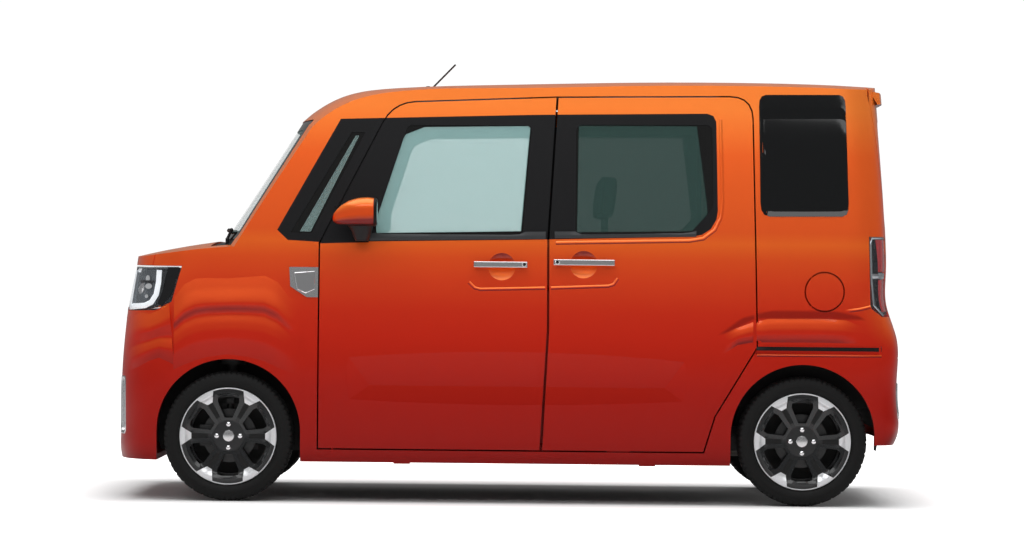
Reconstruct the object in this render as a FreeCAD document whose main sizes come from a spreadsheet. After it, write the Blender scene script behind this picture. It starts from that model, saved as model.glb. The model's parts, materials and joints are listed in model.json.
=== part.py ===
# A small tall-bodied family car with five doors, after the Japanese light-vehicle size limits.
# Frame: X forward, Y to the car's left, Z up. The origin is on the ground, under the centre of
# the car's length and width. Lengths are millimetres.
import FreeCAD
import Part
import Sketcher
import math
import os

Vector = FreeCAD.Vector

# The driving dimensions, one table for each group of pieces.
SIZES = {
    "whole car": {
        "front_overhang": 505.0,
        "wheel_base": 2455.0,
        "rear_overhang": 435.0,
        "car_width": 1475.0,
        "car_height": 1835.0,
        "sill_height": 172.0,
        "jack_front": 450.0,
        "jack_rear": 600.0,
        "jack_pad_inner": 668.0,
        "jack_pad_width": 26.0,
        "jack_pad_length": 70.0,
        "jack_pad_depth": 6.0,
        "overrun": 20.0,
        "seat_gap": 0.3,
    },
    "outer form": {
        "nose_corner": 430.0,
        "tail_corner": 190.0,
        "side_bow": 12.0,
        "roof_crown": 62.0,
        "bonnet_crown": 34.0,
        "screen_bow": 100.0,
        "crown_margin": 22.0,
    },
    "panels": {
        "wall": 50.0,
        "skin": 25.0,
        "fender_sheet": 8.0,
        "door_depth": 85.0,
        "door_step": 28.0,
        "door_soft_reach": 95.0,
        "door_gap": 6.5,
        "glass_inset": 3.0,
        "window_corner": 28.0,
        "pillar_depth": 50.0,
        "pillar_width": 105.0,
        "bonnet_rear_gap": 20.0,
        "scoop_radius": 58.0,
        "scoop_depth": 14.0,
        "front_scoop_place": 30.0,
        "rear_scoop_place": 320.0,
        "crease_low": 424.0,
        "crease_line": 502.0,
        "crease_high": 650.0,
        "crease_depth": 8.0,
        "crease_front": 700.0,
        "crease_rear": 780.0,
        "crease_fade": 110.0,
        "rail_slot_low": 650.0,
        "rail_slot_high": 684.0,
        "rail_slot_depth": 14.0,
        "rail_slot_end": 1585.0,
        "flare_reach": 390.0,
        "flare_full": 190.0,
        "flare_rise": 5.0,
        "flare_line": 640.0,
        "flare_radius": 556.0,
        "flare_root": 3.0,
        "front_flare_top": 900.0,
        "rear_flare_top": 807.0,
        "roof_rear_edge": 161.5,
        "tailgate_floor": 640.0,
    },
    "hinges": {
        "door_axis_set_back": 60.0,
        "door_axis_cover": 6.2,
        "pin_radius": 4.5,
        "pin_fit": 0.3,
        "pin_depth": 32.0,
        "lid_axis_set_back": 8.0,
        "lid_axis_depth": 8.0,
        "lug_offset": 200.0,
        "lug_half_width": 14.0,
        "lug_half_thickness": 4.0,
        "lug_pin_reach": 16.0,
        "lug_clearance": 1.0,
        "lug_length": 46.0,
    },
    "arches": {
        "arch_radius": 308.0,
        "arch_height": 300.0,
        "house_radius": 330.0,
        "house_sheet": 6.0,
        "house_inner_face": 405.0,
        "rear_house_inner_face": 520.0,
        "house_outer_face": 620.0,
        "tower_radius": 75.0,
        "tower_top": 800.0,
    },
    "wheels": {
        "tyre_radius": 278.0,
        "tyre_width": 165.0,
        "tread_width": 126.0,
        "shoulder_drop": 10.0,
        "shoulder_fall": 30.0,
        "tyre_wall": 14.0,
        "bead_radius": 190.0,
        "bead_fit": 0.3,
        "rim_width": 127.0,
        "rim_lip": 6.0,
        "rim_lip_height": 18.0,
        "rim_sheet": 8.0,
        "rim_well_depth": 18.0,
        "rim_well_start": 34.0,
        "rim_well_end": 14.0,
        "rim_ramp": 14.0,
        "face_edge": 56.0,
        "face_sink": 14.0,
        "face_sheet": 16.0,
        "hub_face_radius": 66.0,
        "hub_radius": 34.0,
        "hub_back": 45.0,
        "disc_radius": 115.0,
        "disc_sheet": 12.0,
        "disc_offset": 6.0,
        "stub_radius": 15.0,
        "stub_fit": 0.3,
        "stub_reach": 8.0,
        "window_outer": 171.0,
        "window_shoulder": 145.0,
        "window_inner": 78.0,
        "window_outer_width": 92.0,
        "window_inner_width": 34.0,
        "window_round": 8.0,
        "spoke_count": 6.0,
        "lug_count": 4.0,
        "lug_circle_radius": 50.0,
        "lug_hole_radius": 6.5,
        "front_wheel_offset": 645.0,
        "rear_wheel_offset": 637.5,
    },
    "suspension": {
        "pivot_offset": 600.0,
        "lower_pivot_drop": 95.0,
        "upper_pivot_rise": 135.0,
        "pivot_boss_radius": 15.0,
        "pivot_boss_height": 26.0,
        "pivot_bore_depth": 20.0,
        "pivot_pin_radius": 7.0,
        "pivot_fit": 0.3,
        "upright_width": 70.0,
        "upright_sheet": 24.0,
        "upright_inset": 50.0,
        "steering_arm_reach": 120.0,
        "steering_arm_width": 22.0,
        "steering_arm_drop": 40.0,
        "caliper_place": 100.0,
        "caliper_length": 90.0,
        "caliper_width": 52.0,
        "caliper_clearance": 6.0,
        "subframe_bottom": 165.0,
        "subframe_front": 180.0,
        "subframe_rear": 60.0,
        "subframe_half_width": 330.0,
        "arm_sheet": 16.0,
        "arm_root_half": 150.0,
        "arm_tip_half": 24.0,
        "strut_offset": 492.0,
        "strut_radius": 26.0,
        "spring_radius": 58.0,
        "rear_spring_radius": 46.4,
        "spring_foot": 580.0,
        "strut_top": 790.0,
        "strut_arm_sheet": 22.0,
        "beam_radius": 32.0,
        "beam_place": 120.0,
        "beam_height": 262.0,
        "trailing_arm_width": 46.0,
        "trailing_arm_depth": 60.0,
        "trailing_arm_offset": 485.0,
        "axle_flange_radius": 60.0,
        "axle_flange_sheet": 14.0,
    },
    "floor": {
        "floor_height": 205.0,
        "floor_sheet": 30.0,
        "floor_half_width": 635.0,
        "rear_floor_height": 420.0,
        "firewall_place": 1100.0,
        "firewall_sheet": 20.0,
        "firewall_height": 1040.0,
        "rail_half_gap": 350.0,
        "rail_width": 50.0,
        "rail_bottom": 330.0,
        "rail_height": 90.0,
        "front_panel_sheet": 20.0,
        "front_panel_inset": 150.0,
        "front_panel_height": 790.0,
        "rear_panel_inset": 70.0,
        "sill_inner_height": 218.0,
        "pillar_foot_top": 250.0,
        "pillar_head": 1716.0,
        "pillar_head_rise": 20.0,
        "pillar_head_depth": 35.0,
    },
    "cabin": {
        "dash_rear": 760.0,
        "dash_bottom": 760.0,
        "dash_top": 1085.0,
        "dash_half_width": 590.0,
        "dash_lip": 60.0,
        "seat_offset": 320.0,
        "seat_width": 490.0,
        "cushion_front": 330.0,
        "cushion_rear": 190.0,
        "cushion_top": 600.0,
        "cushion_depth": 150.0,
        "back_top": 1190.0,
        "back_lean": 170.0,
        "back_depth": 130.0,
        "seat_round": 40.0,
        "head_rest_width": 250.0,
        "head_rest_height": 190.0,
        "head_rest_depth": 90.0,
        "head_rest_gap": 40.0,
        "head_rest_post": 6.0,
        "head_rest_post_span": 140.0,
        "rear_seat_place": 690.0,
        "rear_seat_width": 1100.0,
        "rear_cushion_length": 480.0,
        "rear_back_top": 1120.0,
        "steering_wheel_radius": 178.0,
        "steering_grip_radius": 14.0,
        "steering_place": 600.0,
        "steering_height": 985.0,
        "steering_lean": 28.0,
        "steering_hub_radius": 62.0,
        "steering_hub_depth": 44.0,
        "steering_spoke_width": 34.0,
        "steering_spoke_sheet": 18.0,
        "column_radius": 20.0,
        "column_length": 230.0,
        "driver_offset": 330.0,
    },
    "under body": {
        "engine_gap": 30.0,
        "engine_length": 320.0,
        "engine_width": 560.0,
        "engine_height": 430.0,
        "tank_length": 560.0,
        "tank_width": 620.0,
        "tank_height": 48.0,
        "tank_place": 330.0,
        "pipe_radius": 21.0,
        "pipe_height": 180.0,
        "pipe_offset": 420.0,
        "pipe_start": 760.0,
        "muffler_length": 130.0,
        "muffler_radius": 75.0,
    },
    "outside fittings": {
        "mirror_front": 690.0,
        "mirror_rear": 560.0,
        "mirror_bottom": 1168.0,
        "mirror_top": 1290.0,
        "mirror_reach": 150.0,
        "mirror_foot": 34.0,
        "mirror_round": 30.0,
        "handle_reach": 34.0,
        "handle_height": 26.0,
        "handle_bar": 12.0,
        "handle_line": 1023.0,
        "rear_handle_line": 1035.0,
        "front_handle_front": 150.0,
        "front_handle_rear": 80.0,
        "rear_handle_front": 190.0,
        "rear_handle_rear": 452.0,
        "aerial_base": 370.0,
        "aerial_rake": 122.0,
        "aerial_rise": 112.0,
        "aerial_radius": 4.0,
        "aerial_foot_radius": 16.0,
        "aerial_foot_height": 14.0,
        "fuel_lid_radius": 80.0,
        "fuel_axis_set_back": 24.0,
        "fuel_pocket_depth": 38.0,
        "fuel_pin_radius": 2.5,
        "fuel_lid_place": 1350.0,
        "fuel_lid_height": 920.0,
        "wiper_rise": 40.0,
        "wiper_foot_reach": 18.0,
        "wiper_radius": 6.0,
        "wiper_joint_radius": 8.0,
        "wiper_stand_off": 14.0,
        "wiper_length": 420.0,
        "wiper_near_pivot": 63.0,
        "wiper_far_pivot": 462.0,
        "garnish_depth": 6.0,
        "plate_width": 330.0,
        "plate_height": 165.0,
        "plate_sheet": 4.0,
        "plate_recess": 14.0,
        "plate_margin": 4.0,
        "front_plate_height": 620.0,
        "rear_plate_height": 450.0,
        "plate_bolt_radius": 3.0,
        "plate_bolt_spacing": 210.0,
        "rear_bumper_low": 265.0,
        "spoiler_reach": 22.0,
        "spoiler_half_width": 560.0,
        "bumper_lamp_inner": 430.0,
        "bumper_lamp_outer": 545.0,
        "bumper_lamp_low": 282.0,
        "bumper_lamp_high": 520.0,
    },
}

# Places along the car are stations: 0 at the front axle, 1 at the rear axle, -1 at the front
# end and 2 at the rear end. Heights are shares of the car's height.
ROOF_LINE_SHARES = [
    (-1.2, 0.544), (-0.886, 0.569), (-0.569, 0.589), (-0.138, 0.609), (0.041, 0.751),
    (0.110, 0.897), (0.145, 0.934), (0.182, 0.959), (0.284, 0.981), (0.486, 0.992),
    (0.714, 1.0), (0.934, 1.0015), (1.622, 0.995), (2.24, 0.983),
]
NOSE_SHARES = [
    (0.08, 0.975), (0.163, 1.0), (0.283, 0.995), (0.381, 0.973), (0.469, 0.934),
    (0.545, 0.878), (0.65, 0.84), (1.02, 0.70),
]
TAIL_SHARES = [
    (0.08, 0.975), (0.163, 1.0), (0.305, 1.0), (0.414, 0.985), (0.458, 0.886),
    (0.545, 0.88), (0.63, 0.873), (0.786, 0.832), (0.937, 0.782), (1.02, 0.755),
]
SIDE_SHARES = [
    (0.08, 0.948), (0.117, 0.962), (0.163, 0.982), (0.229, 0.991), (0.283, 0.997),
    (0.349, 1.0), (0.414, 1.0), (0.49, 0.993), (0.545, 0.983), (0.6, 0.972),
    (0.708, 0.943), (0.817, 0.91), (0.926, 0.872), (1.02, 0.84),
]
FRONT_DOOR_SHARES = [
    (0.542, 0.126), (0.157, 0.126), (0.157, 0.603), (0.282, 0.933), (0.566, 0.949), (0.552, 0.62),
    (0.553, 0.406),
]
REAR_DOOR_SHARES = [
    (0.827, 0.126), (0.547, 0.126), (0.557, 0.406), (0.556, 0.62), (0.57, 0.949), (0.908, 0.955),
    (0.918, 0.371), (0.846, 0.21),
]
FRONT_WINDOW_SHARES = [(0.246, 0.626), (0.307, 0.882), (0.524, 0.884), (0.51, 0.627)]
REAR_WINDOW_SHARES = [(0.601, 0.629), (0.601, 0.886), (0.839, 0.889), (0.841, 0.695), (0.801, 0.635)]
CORNER_WINDOW_SHARES = [(0.142, 0.626), (0.105, 0.628), (0.209, 0.864), (0.233, 0.864)]
QUARTER_WINDOW_SHARES = [(0.9236, 0.921), (1.408, 0.923), (1.431, 0.6785), (0.9338, 0.6763)]
HEAD_LAMP_SHARES = [(-1.1, 0.439), (-1.1, 0.547), (-0.405, 0.547), (-0.49, 0.463), (-0.629, 0.443)]
BUMPER_SIDE_SHARES = [(-1.1, 0.448), (-0.583, 0.448), (-0.355, 0.308), (-0.355, 0.06), (-1.1, 0.06)]
FENDER_SIDE_SHARES = [
    (0.154, 0.06), (0.154, 0.606), (-0.07, 0.618), (-0.3, 0.7), (-1.1, 0.7), (-1.1, 0.448),
    (-0.583, 0.448), (-0.355, 0.308), (-0.355, 0.06),
]
GARNISH_SHARES = [(0.104, 0.547), (0.157, 0.547), (0.156, 0.477), (0.135, 0.477), (0.106, 0.502)]
REAR_BUMPER_SHARES = [(2.1, 0.444), (1.776, 0.444), (1.776, 0.336), (1.40, 0.29), (1.40, 0.06), (2.1, 0.06)]
TAIL_LAMP_SHARES = [(2.1, 0.444), (1.776, 0.444), (1.654, 0.465), (1.638, 0.631), (2.1, 0.631)]
SCREEN_SHARES = [(-0.9, 0.612), (0.9, 0.612), (0.77, 0.895), (-0.77, 0.895)]
TAIL_WINDOW_SHARES = [(-0.76, 0.655), (0.76, 0.655), (0.70, 0.905), (-0.70, 0.905)]

doc = FreeCAD.newDocument("SmallCar")
sheet = doc.addObject("Spreadsheet::Sheet", "Sizes")
row = 0
for group, values in SIZES.items():
    row += 1
    sheet.set(f"A{row}", group)
    for alias, value in values.items():
        row += 1
        sheet.set(f"A{row}", alias)
        sheet.set(f"B{row}", str(value))
        sheet.setAlias(f"B{row}", alias)
doc.recompute()


class SheetValues:
    """Reads a named size from the document's sheet."""

    def __getattr__(self, name):
        return float(sheet.get(name))


size = SheetValues()
HALF_LENGTH = (size.front_overhang + size.wheel_base + size.rear_overhang) / 2
FRONT_AXLE = HALF_LENGTH - size.front_overhang
REAR_AXLE = FRONT_AXLE - size.wheel_base
HALF_WIDTH = size.car_width / 2
HEIGHT = size.car_height
LEFT, RIGHT = 1, -1


def along(station):
    """The place along the car of a station."""
    if station < 0:
        return FRONT_AXLE - station * size.front_overhang
    if station <= 1:
        return FRONT_AXLE - station * size.wheel_base
    return REAR_AXLE - (station - 1) * size.rear_overhang


def side_outline(shares):
    """An outline in the side view, from stations and shares of the height."""
    return [(along(station), height * HEIGHT) for station, height in shares]


def end_outline(shares):
    """An outline in the view from an end, from shares of the half width and of the height."""
    return [(across * HALF_WIDTH, height * HEIGHT) for across, height in shares]


def smooth_value(table, place):
    """The value of a smooth curve through a table's points, with no overshoot between them."""
    if place <= table[0][0]:
        return table[0][1]
    if place >= table[-1][0]:
        return table[-1][1]
    last = len(table) - 1
    slopes = []
    for index in range(last):
        (low, low_value), (high, high_value) = table[index], table[index + 1]
        slopes.append((high_value - low_value) / (high - low))
    tangents = [slopes[0]]
    for before, after in zip(slopes, slopes[1:]):
        tangents.append(0 if before * after <= 0 else 2 * before * after / (before + after))
    tangents.append(slopes[-1])
    index = max(n for n in range(last) if table[n][0] <= place)
    (low, low_value), (high, high_value) = table[index], table[index + 1]
    span = high - low
    part = (place - low) / span
    return (low_value * (1 + 2 * part) * (1 - part) ** 2
            + high_value * part ** 2 * (3 - 2 * part)
            + tangents[index] * span * part * (1 - part) ** 2
            - tangents[index + 1] * span * part ** 2 * (1 - part))


def inset_outline(points, distance):
    """A closed outline moved inwards by a distance, or outwards where it is negative."""
    area = 0
    for (ax, az), (bx, bz) in zip(points, points[1:] + points[:1]):
        area += ax * bz - bx * az
    turn = 1 if area > 0 else -1
    moved = []
    for index, point in enumerate(points):
        before = points[index - 1]
        after = points[(index + 1) % len(points)]
        normals = []
        for start, end in ((before, point), (point, after)):
            run, rise = end[0] - start[0], end[1] - start[1]
            length = math.hypot(run, rise)
            normals.append((-rise * turn / length, run * turn / length))
        (ax, az), (bx, bz) = normals
        scale = distance / (1 + ax * bx + az * bz)
        moved.append((point[0] + scale * (ax + bx), point[1] + scale * (az + bz)))
    return moved


def curve_through(points, start=None, end=None, pattern=None):
    """A smooth edge through points; a pattern of points gives the spacing of its knots."""
    curve = Part.BSplineCurve()
    if start:
        knots = [0.0]
        for before, after in zip(pattern, pattern[1:]):
            knots.append(knots[-1] + (after - before).Length)
        curve.interpolate(Points=points, InitialTangent=start, FinalTangent=end, Parameters=knots,
                          Scale=False)
    else:
        curve.interpolate(Points=points)
    return curve.toShape()


CORNER_STEPS = 5
SIDE_PLACES = (0, 0.5, 1)
LEVELS = 12
PATTERN_SHARE = 0.3
CROWN_STEPS = 4
SOFT_STEPS = 5
NOSE_POWER = 3.8
TAIL_POWER = 4.4
CROWN_POWER = 2.6
SCREEN_POWER = 2.2


def corner_sweep(across, power):
    """How far a rounded corner falls back, from 0 at the middle to 1 at the side."""
    return 1 - max(0, 1 - across ** power) ** (1 / power)


def plan_points(height_share, depth):
    """Points of the nose, side and tail seen from above at one height, and the side's two end slopes."""
    front = FRONT_AXLE + smooth_value(NOSE_SHARES, height_share) * size.front_overhang - depth
    rear = REAR_AXLE - smooth_value(TAIL_SHARES, height_share) * size.rear_overhang + depth
    half = smooth_value(SIDE_SHARES, height_share) * HALF_WIDTH - depth
    start, end = front - size.nose_corner, rear + size.tail_corner
    middle, reach = (front + rear) / 2, (front - rear) / 2
    nose, tail = [], []
    for step in range(CORNER_STEPS + 1):
        across = math.sin(math.pi / 2 * step / CORNER_STEPS)
        nose.append((front - size.nose_corner * corner_sweep(across, NOSE_POWER), across))
        tail.append((rear + size.tail_corner * corner_sweep(across, TAIL_POWER), across))
    side = [(start + (end - start) * share, 1) for share in SIDE_PLACES]
    stretches = []
    for places in (nose, side, tail[::-1]):
        stretches.append([Vector(place, (half - size.side_bow * ((place - middle) / reach) ** 2) * across,
                                 height_share * HEIGHT) for place, across in places])
    turns = [Vector(-1, 2 * size.side_bow * (place - middle) / reach ** 2, 0) for place in (start, end)]
    return stretches, turns


def plan_section(height_share, depth):
    """The car's outline seen from above at one height, a depth inside the outer form."""
    stretches, (front_turn, rear_turn) = plan_points(height_share, depth)
    patterns, turns = plan_points(PATTERN_SHARE, 0)
    return Part.Wire([
        curve_through(stretches[0], Vector(0, 1, 0), front_turn, patterns[0]),
        curve_through(stretches[1], front_turn, rear_turn, patterns[1]),
        curve_through(stretches[2], rear_turn, Vector(0, -1, 0), patterns[2]),
        Part.makeLine(stretches[2][-1], stretches[0][0]),
    ])


def side_form(depth):
    """The left half of the sides, nose and tail: sections stacked from sill to roof."""
    low, high = NOSE_SHARES[0][0], NOSE_SHARES[-1][0]
    shares = [low + (high - low) * level / LEVELS for level in range(LEVELS + 1)]
    return Part.makeLoft([plan_section(share, depth) for share in shares], True, False)


def top_form(depth):
    """The left half of the bonnet, screen and roof, crowned across the car."""
    line = side_outline(ROOF_LINE_SHARES)
    floor = size.sill_height
    closed = inset_outline([(line[0][0], floor), *line, (line[-1][0], floor)], depth)
    bonnet_points = range(1, 6)
    screen = range(4, 9)
    half = HALF_WIDTH + size.crown_margin
    wires = []
    for step in range(CROWN_STEPS + 1):
        across = math.sin(math.pi / 2 * step / CROWN_STEPS)
        place = half * across
        points = []
        for index, (x, z) in enumerate(closed):
            top = 0 < index < len(closed) - 1
            crown = size.bonnet_crown if index in bonnet_points else size.roof_crown
            drop = crown * across ** CROWN_POWER if top else 0
            back = size.screen_bow * across ** SCREEN_POWER if index in screen else 0
            points.append(Vector(x - back, place, z - drop))
        wires.append(Part.Wire([
            Part.makeLine(points[0], points[1]),
            curve_through(points[1:5]),
            curve_through(points[4:7]),
            curve_through(points[6:-1]),
            Part.makeLine(points[-2], points[-1]),
            Part.makeLine(points[-1], points[0]),
        ]))
    return Part.makeLoft(wires, True, False)


FORMS = {}


def form(depth):
    """The left half of the car's outer form, or the same form a depth inside it."""
    if depth not in FORMS:
        FORMS[depth] = side_form(depth).common(top_form(depth))
    return FORMS[depth]


def box(low, high):
    """A box between two corners."""
    return Part.makeBox(high[0] - low[0], high[1] - low[1], high[2] - low[2], Vector(*low))


def rounded(solid, direction, radius):
    """A prism with the edges that run along a direction rounded."""
    edges = [edge for edge in solid.Edges if abs(edge.tangentAt(edge.FirstParameter).dot(direction)) > 0.99]
    return solid.makeFillet(radius, edges)


def side_prism(points, low, high, radius=0):
    """A side-view outline drawn out across the car, from low to high."""
    wire = Part.makePolygon([Vector(x, low, z) for x, z in points + points[:1]])
    solid = Part.Face(wire).extrude(Vector(0, high - low, 0))
    return rounded(solid, Vector(0, 1, 0), radius) if radius else solid


def end_prism(points, low, high, radius=0):
    """An end-view outline drawn out along the car, from low to high."""
    wire = Part.makePolygon([Vector(low, y, z) for y, z in points + points[:1]])
    solid = Part.Face(wire).extrude(Vector(high - low, 0, 0))
    return rounded(solid, Vector(1, 0, 0), radius) if radius else solid


def plan_prism(points, low, high, radius=0):
    """A plan-view outline drawn upwards, from low to high."""
    wire = Part.makePolygon([Vector(x, y, low) for x, y in points + points[:1]])
    solid = Part.Face(wire).extrude(Vector(0, 0, high - low))
    return rounded(solid, Vector(0, 0, 1), radius) if radius else solid


def rod(start, end, radius):
    """A round bar between two points."""
    start, end = Vector(*start), Vector(*end)
    return Part.makeCylinder(radius, (end - start).Length, start, end - start)


def mirrored(solid):
    """The same piece on the car's right side."""
    return solid.mirror(Vector(0, 0, 0), Vector(0, 1, 0))


def pair(solid):
    """A left piece and its right twin, as two solids of one node."""
    return Part.makeCompound([*solid.Solids, *mirrored(solid).Solids])


def joined(first, *others):
    """Solids fused to one."""
    return first.multiFuse(list(others)).removeSplitter()


NODES = []


def add_shape(label, shape):
    """A node whose shape is worked out from the sheet."""
    item = doc.addObject("Part::Feature", label)
    solids = shape.Solids
    item.Shape = solids[0] if len(solids) == 1 else Part.makeCompound(solids)
    item.Label = label
    NODES.append(item)
    return item


WORDS = {alias for values in SIZES.values() for alias in values}


def bound(text):
    """An expression on the sheet's cells, from one on their names."""
    out, word = "", ""
    for letter in text + " ":
        if letter.isalnum() or letter == "_":
            word += letter
            continue
        out += ("Sizes." if word in WORDS else "") + word + letter
        word = ""
    return out.strip()


def new_body(label):
    """An empty PartDesign body."""
    body = doc.addObject("PartDesign::Body", label)
    body.Label = label
    return body


def outline_sketch(body, plane, points, name="outline"):
    """A closed sketch of straight runs whose corners are bound to the sheet."""
    sketch = body.newObject("Sketcher::SketchObject", f"{body.Label}_{name}")
    origin_plane = [item for item in body.Origin.OriginFeatures if item.Role == plane][0]
    sketch.AttachmentSupport = [(origin_plane, "")]
    sketch.MapMode = "FlatFace"
    count = len(points)
    guesses = []
    for index in range(count):
        angle = 2 * math.pi * index / count
        guesses.append(Vector(HALF_WIDTH * math.cos(angle), HALF_WIDTH * math.sin(angle), 0))
    for index in range(count):
        sketch.addGeometry(Part.LineSegment(guesses[index], guesses[(index + 1) % count]))
    for index in range(count):
        sketch.addConstraint(Sketcher.Constraint("Coincident", index, 2, (index + 1) % count, 1))
    for index, (across, up) in enumerate(points):
        for kind, text, axis, guess in (("DistanceX", across, -2, guesses[index].x),
                                        ("DistanceY", up, -1, guesses[index].y)):
            if text == "0":
                sketch.addConstraint(Sketcher.Constraint("PointOnObject", index, 1, axis))
                continue
            number = sketch.addConstraint(Sketcher.Constraint(kind, -1, 1, index, 1, guess))
            corner = f"{kind[-1].lower()}{index}"
            sketch.renameConstraint(number, corner)
            sketch.setExpression(f"Constraints.{corner}", bound(text))
    return sketch


def revolved(body, points):
    """A ring or disc about the wheel's axis, from its half section: place along the axle, radius."""
    sketch = outline_sketch(body, "YZ_Plane", points)
    turned = body.newObject("PartDesign::Revolution", body.Label + "_turned")
    turned.Profile = sketch
    turned.ReferenceAxis = (sketch, ["H_Axis"])
    turned.Angle = 360
    body.Tip = turned
    return turned


def wheel_places():
    """The four wheels: name, place along, place across, side."""
    return [
        ("front_left", FRONT_AXLE, size.front_wheel_offset, LEFT),
        ("front_right", FRONT_AXLE, -size.front_wheel_offset, RIGHT),
        ("rear_left", REAR_AXLE, size.rear_wheel_offset, LEFT),
        ("rear_right", REAR_AXLE, -size.rear_wheel_offset, RIGHT),
    ]


def place_wheel(body, place, across, side):
    """Puts a wheel piece, drawn with its outer face to +Y, on its axle."""
    turn = FreeCAD.Rotation(Vector(0, 0, 1), 0 if side == LEFT else 180)
    body.Placement = FreeCAD.Placement(Vector(place, across, size.tyre_radius), turn)


def make_tyre(name, place, across, side):
    """A tyre: hollow, with its beads on the rim's seats."""
    body = new_body("tyre_" + name)
    bead = "bead_radius + bead_fit"
    outer = [
        ("rim_width / 2 - bead_fit", bead),
        ("rim_width / 2 - bead_fit", "bead_radius + rim_lip_height"),
        ("tyre_width / 2", "bead_radius + rim_lip_height + shoulder_fall"),
        ("tyre_width / 2", "tyre_radius - shoulder_fall"),
        ("(tyre_width + tread_width) / 4 + shoulder_drop / 2", "tyre_radius - shoulder_drop"),
        ("tread_width / 2", "tyre_radius"),
    ]
    inner = [
        ("tread_width / 2 - tyre_wall", "tyre_radius - tyre_wall"),
        ("tyre_width / 2 - tyre_wall", "tyre_radius - shoulder_fall - tyre_wall / 2"),
        ("tyre_width / 2 - tyre_wall", "bead_radius + rim_lip_height + shoulder_fall"),
        ("rim_width / 2 - bead_fit - tyre_wall", bead),
    ]
    section = outer + [(f"-({x})", r) for x, r in reversed(outer)]
    section += [(f"-({x})", r) for x, r in reversed(inner)] + inner
    revolved(body, section)
    place_wheel(body, place, across, side)
    NODES.append(body)


def make_rim(name, place, across, side):
    """A rim with its spoked face, hub and brake disc, bored for the stub axle."""
    body = new_body("rim_" + name)
    lip = "rim_width / 2 + rim_lip"
    well = "bead_radius - rim_well_depth"
    hollow = "bead_radius - rim_sheet"
    face_back = "face_edge - face_sheet"
    hub_front = "face_edge - face_sink"
    hub_back = "face_edge - face_sink - face_sheet"
    disc_front = "-disc_offset"
    disc_back = "-disc_offset - disc_sheet"
    revolved(body, [
        (lip, "bead_radius + rim_lip_height"),
        ("rim_width / 2", "bead_radius + rim_lip_height"),
        ("rim_width / 2", "bead_radius"),
        ("rim_well_start", "bead_radius"),
        ("rim_well_start - rim_ramp", well),
        ("-rim_well_end - rim_ramp", well),
        ("-rim_well_end - rim_ramp * 2", "bead_radius"),
        ("-rim_width / 2", "bead_radius"),
        ("-rim_width / 2", "bead_radius + rim_lip_height"),
        ("-rim_width / 2 - rim_lip", "bead_radius + rim_lip_height"),
        ("-rim_width / 2 - rim_lip", hollow),
        ("-rim_well_end - rim_ramp * 2", hollow),
        ("-rim_well_end - rim_ramp", well + " - rim_sheet"),
        ("rim_well_start - rim_ramp", well + " - rim_sheet"),
        (face_back, hollow),
        (hub_back, "hub_face_radius + rim_sheet"),
        (hub_back, "hub_radius"),
        (disc_front, "hub_radius"),
        (disc_front, "disc_radius"),
        (disc_back, "disc_radius"),
        (disc_back, "hub_radius"),
        ("-hub_back", "hub_radius"),
        ("-hub_back", "stub_radius + stub_fit"),
        ("stub_reach + stub_fit", "stub_radius + stub_fit"),
        ("stub_reach + stub_fit", "0"),
        (hub_front, "0"),
        (hub_front, "hub_face_radius"),
        ("face_edge", "bead_radius - rim_sheet * 2"),
        (lip, hollow),
    ])
    window = outline_sketch(body, "XZ_Plane", [
        ("window_inner_width / 2", "window_inner"),
        ("window_outer_width / 2", "window_shoulder"),
        ("window_outer_width / 2", "window_outer - window_round"),
        ("window_outer_width / 2 - window_round", "window_outer"),
        ("-window_outer_width / 2 + window_round", "window_outer"),
        ("-window_outer_width / 2", "window_outer - window_round"),
        ("-window_outer_width / 2", "window_shoulder"),
        ("-window_inner_width / 2", "window_inner"),
    ], "window")
    doc.recompute()
    whole = body.Tip.Shape.Volume
    pocket = body.newObject("PartDesign::Pocket", body.Label + "_pocket")
    pocket.Profile = window
    pocket.Type = "Length"
    pocket.setExpression("Length", bound("face_edge + rim_lip + overrun"))
    pocket.Reversed = False
    body.Tip = pocket
    doc.recompute()
    if not pocket.Shape.Volume < whole * 0.995:
        pocket.Reversed = True
        doc.recompute()
    pattern = body.newObject("PartDesign::PolarPattern", body.Label + "_windows")
    pattern.Originals = [pocket]
    axis = [item for item in body.Origin.OriginFeatures if item.Role == "Y_Axis"][0]
    pattern.Axis = (axis, [""])
    pattern.Angle = 360
    pattern.setExpression("Occurrences", bound("spoke_count"))
    body.Tip = pattern
    lug = body.newObject("Sketcher::SketchObject", body.Label + "_lug")
    lug.AttachmentSupport = window.AttachmentSupport
    lug.MapMode = "FlatFace"
    lug.addGeometry(Part.Circle(Vector(0, size.lug_circle_radius, 0), Vector(0, 0, 1), size.lug_hole_radius))
    lug.addConstraint(Sketcher.Constraint("PointOnObject", 0, 3, -2))
    number = lug.addConstraint(Sketcher.Constraint("DistanceY", -1, 1, 0, 3, size.lug_circle_radius))
    lug.renameConstraint(number, "up")
    lug.setExpression("Constraints.up", bound("lug_circle_radius"))
    number = lug.addConstraint(Sketcher.Constraint("Radius", 0, size.lug_hole_radius))
    lug.renameConstraint(number, "hole")
    lug.setExpression("Constraints.hole", bound("lug_hole_radius"))
    drill = body.newObject("PartDesign::Pocket", body.Label + "_drill")
    drill.Profile = lug
    drill.Type = "Length"
    drill.setExpression("Length", bound("face_edge"))
    drill.Reversed = pocket.Reversed
    body.Tip = drill
    circle = body.newObject("PartDesign::PolarPattern", body.Label + "_lugs")
    circle.Originals = [drill]
    circle.Axis = (axis, [""])
    circle.Angle = 360
    circle.setExpression("Occurrences", bound("lug_count"))
    body.Tip = circle
    place_wheel(body, place, across, side)
    NODES.append(body)


SKINS = {}


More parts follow.
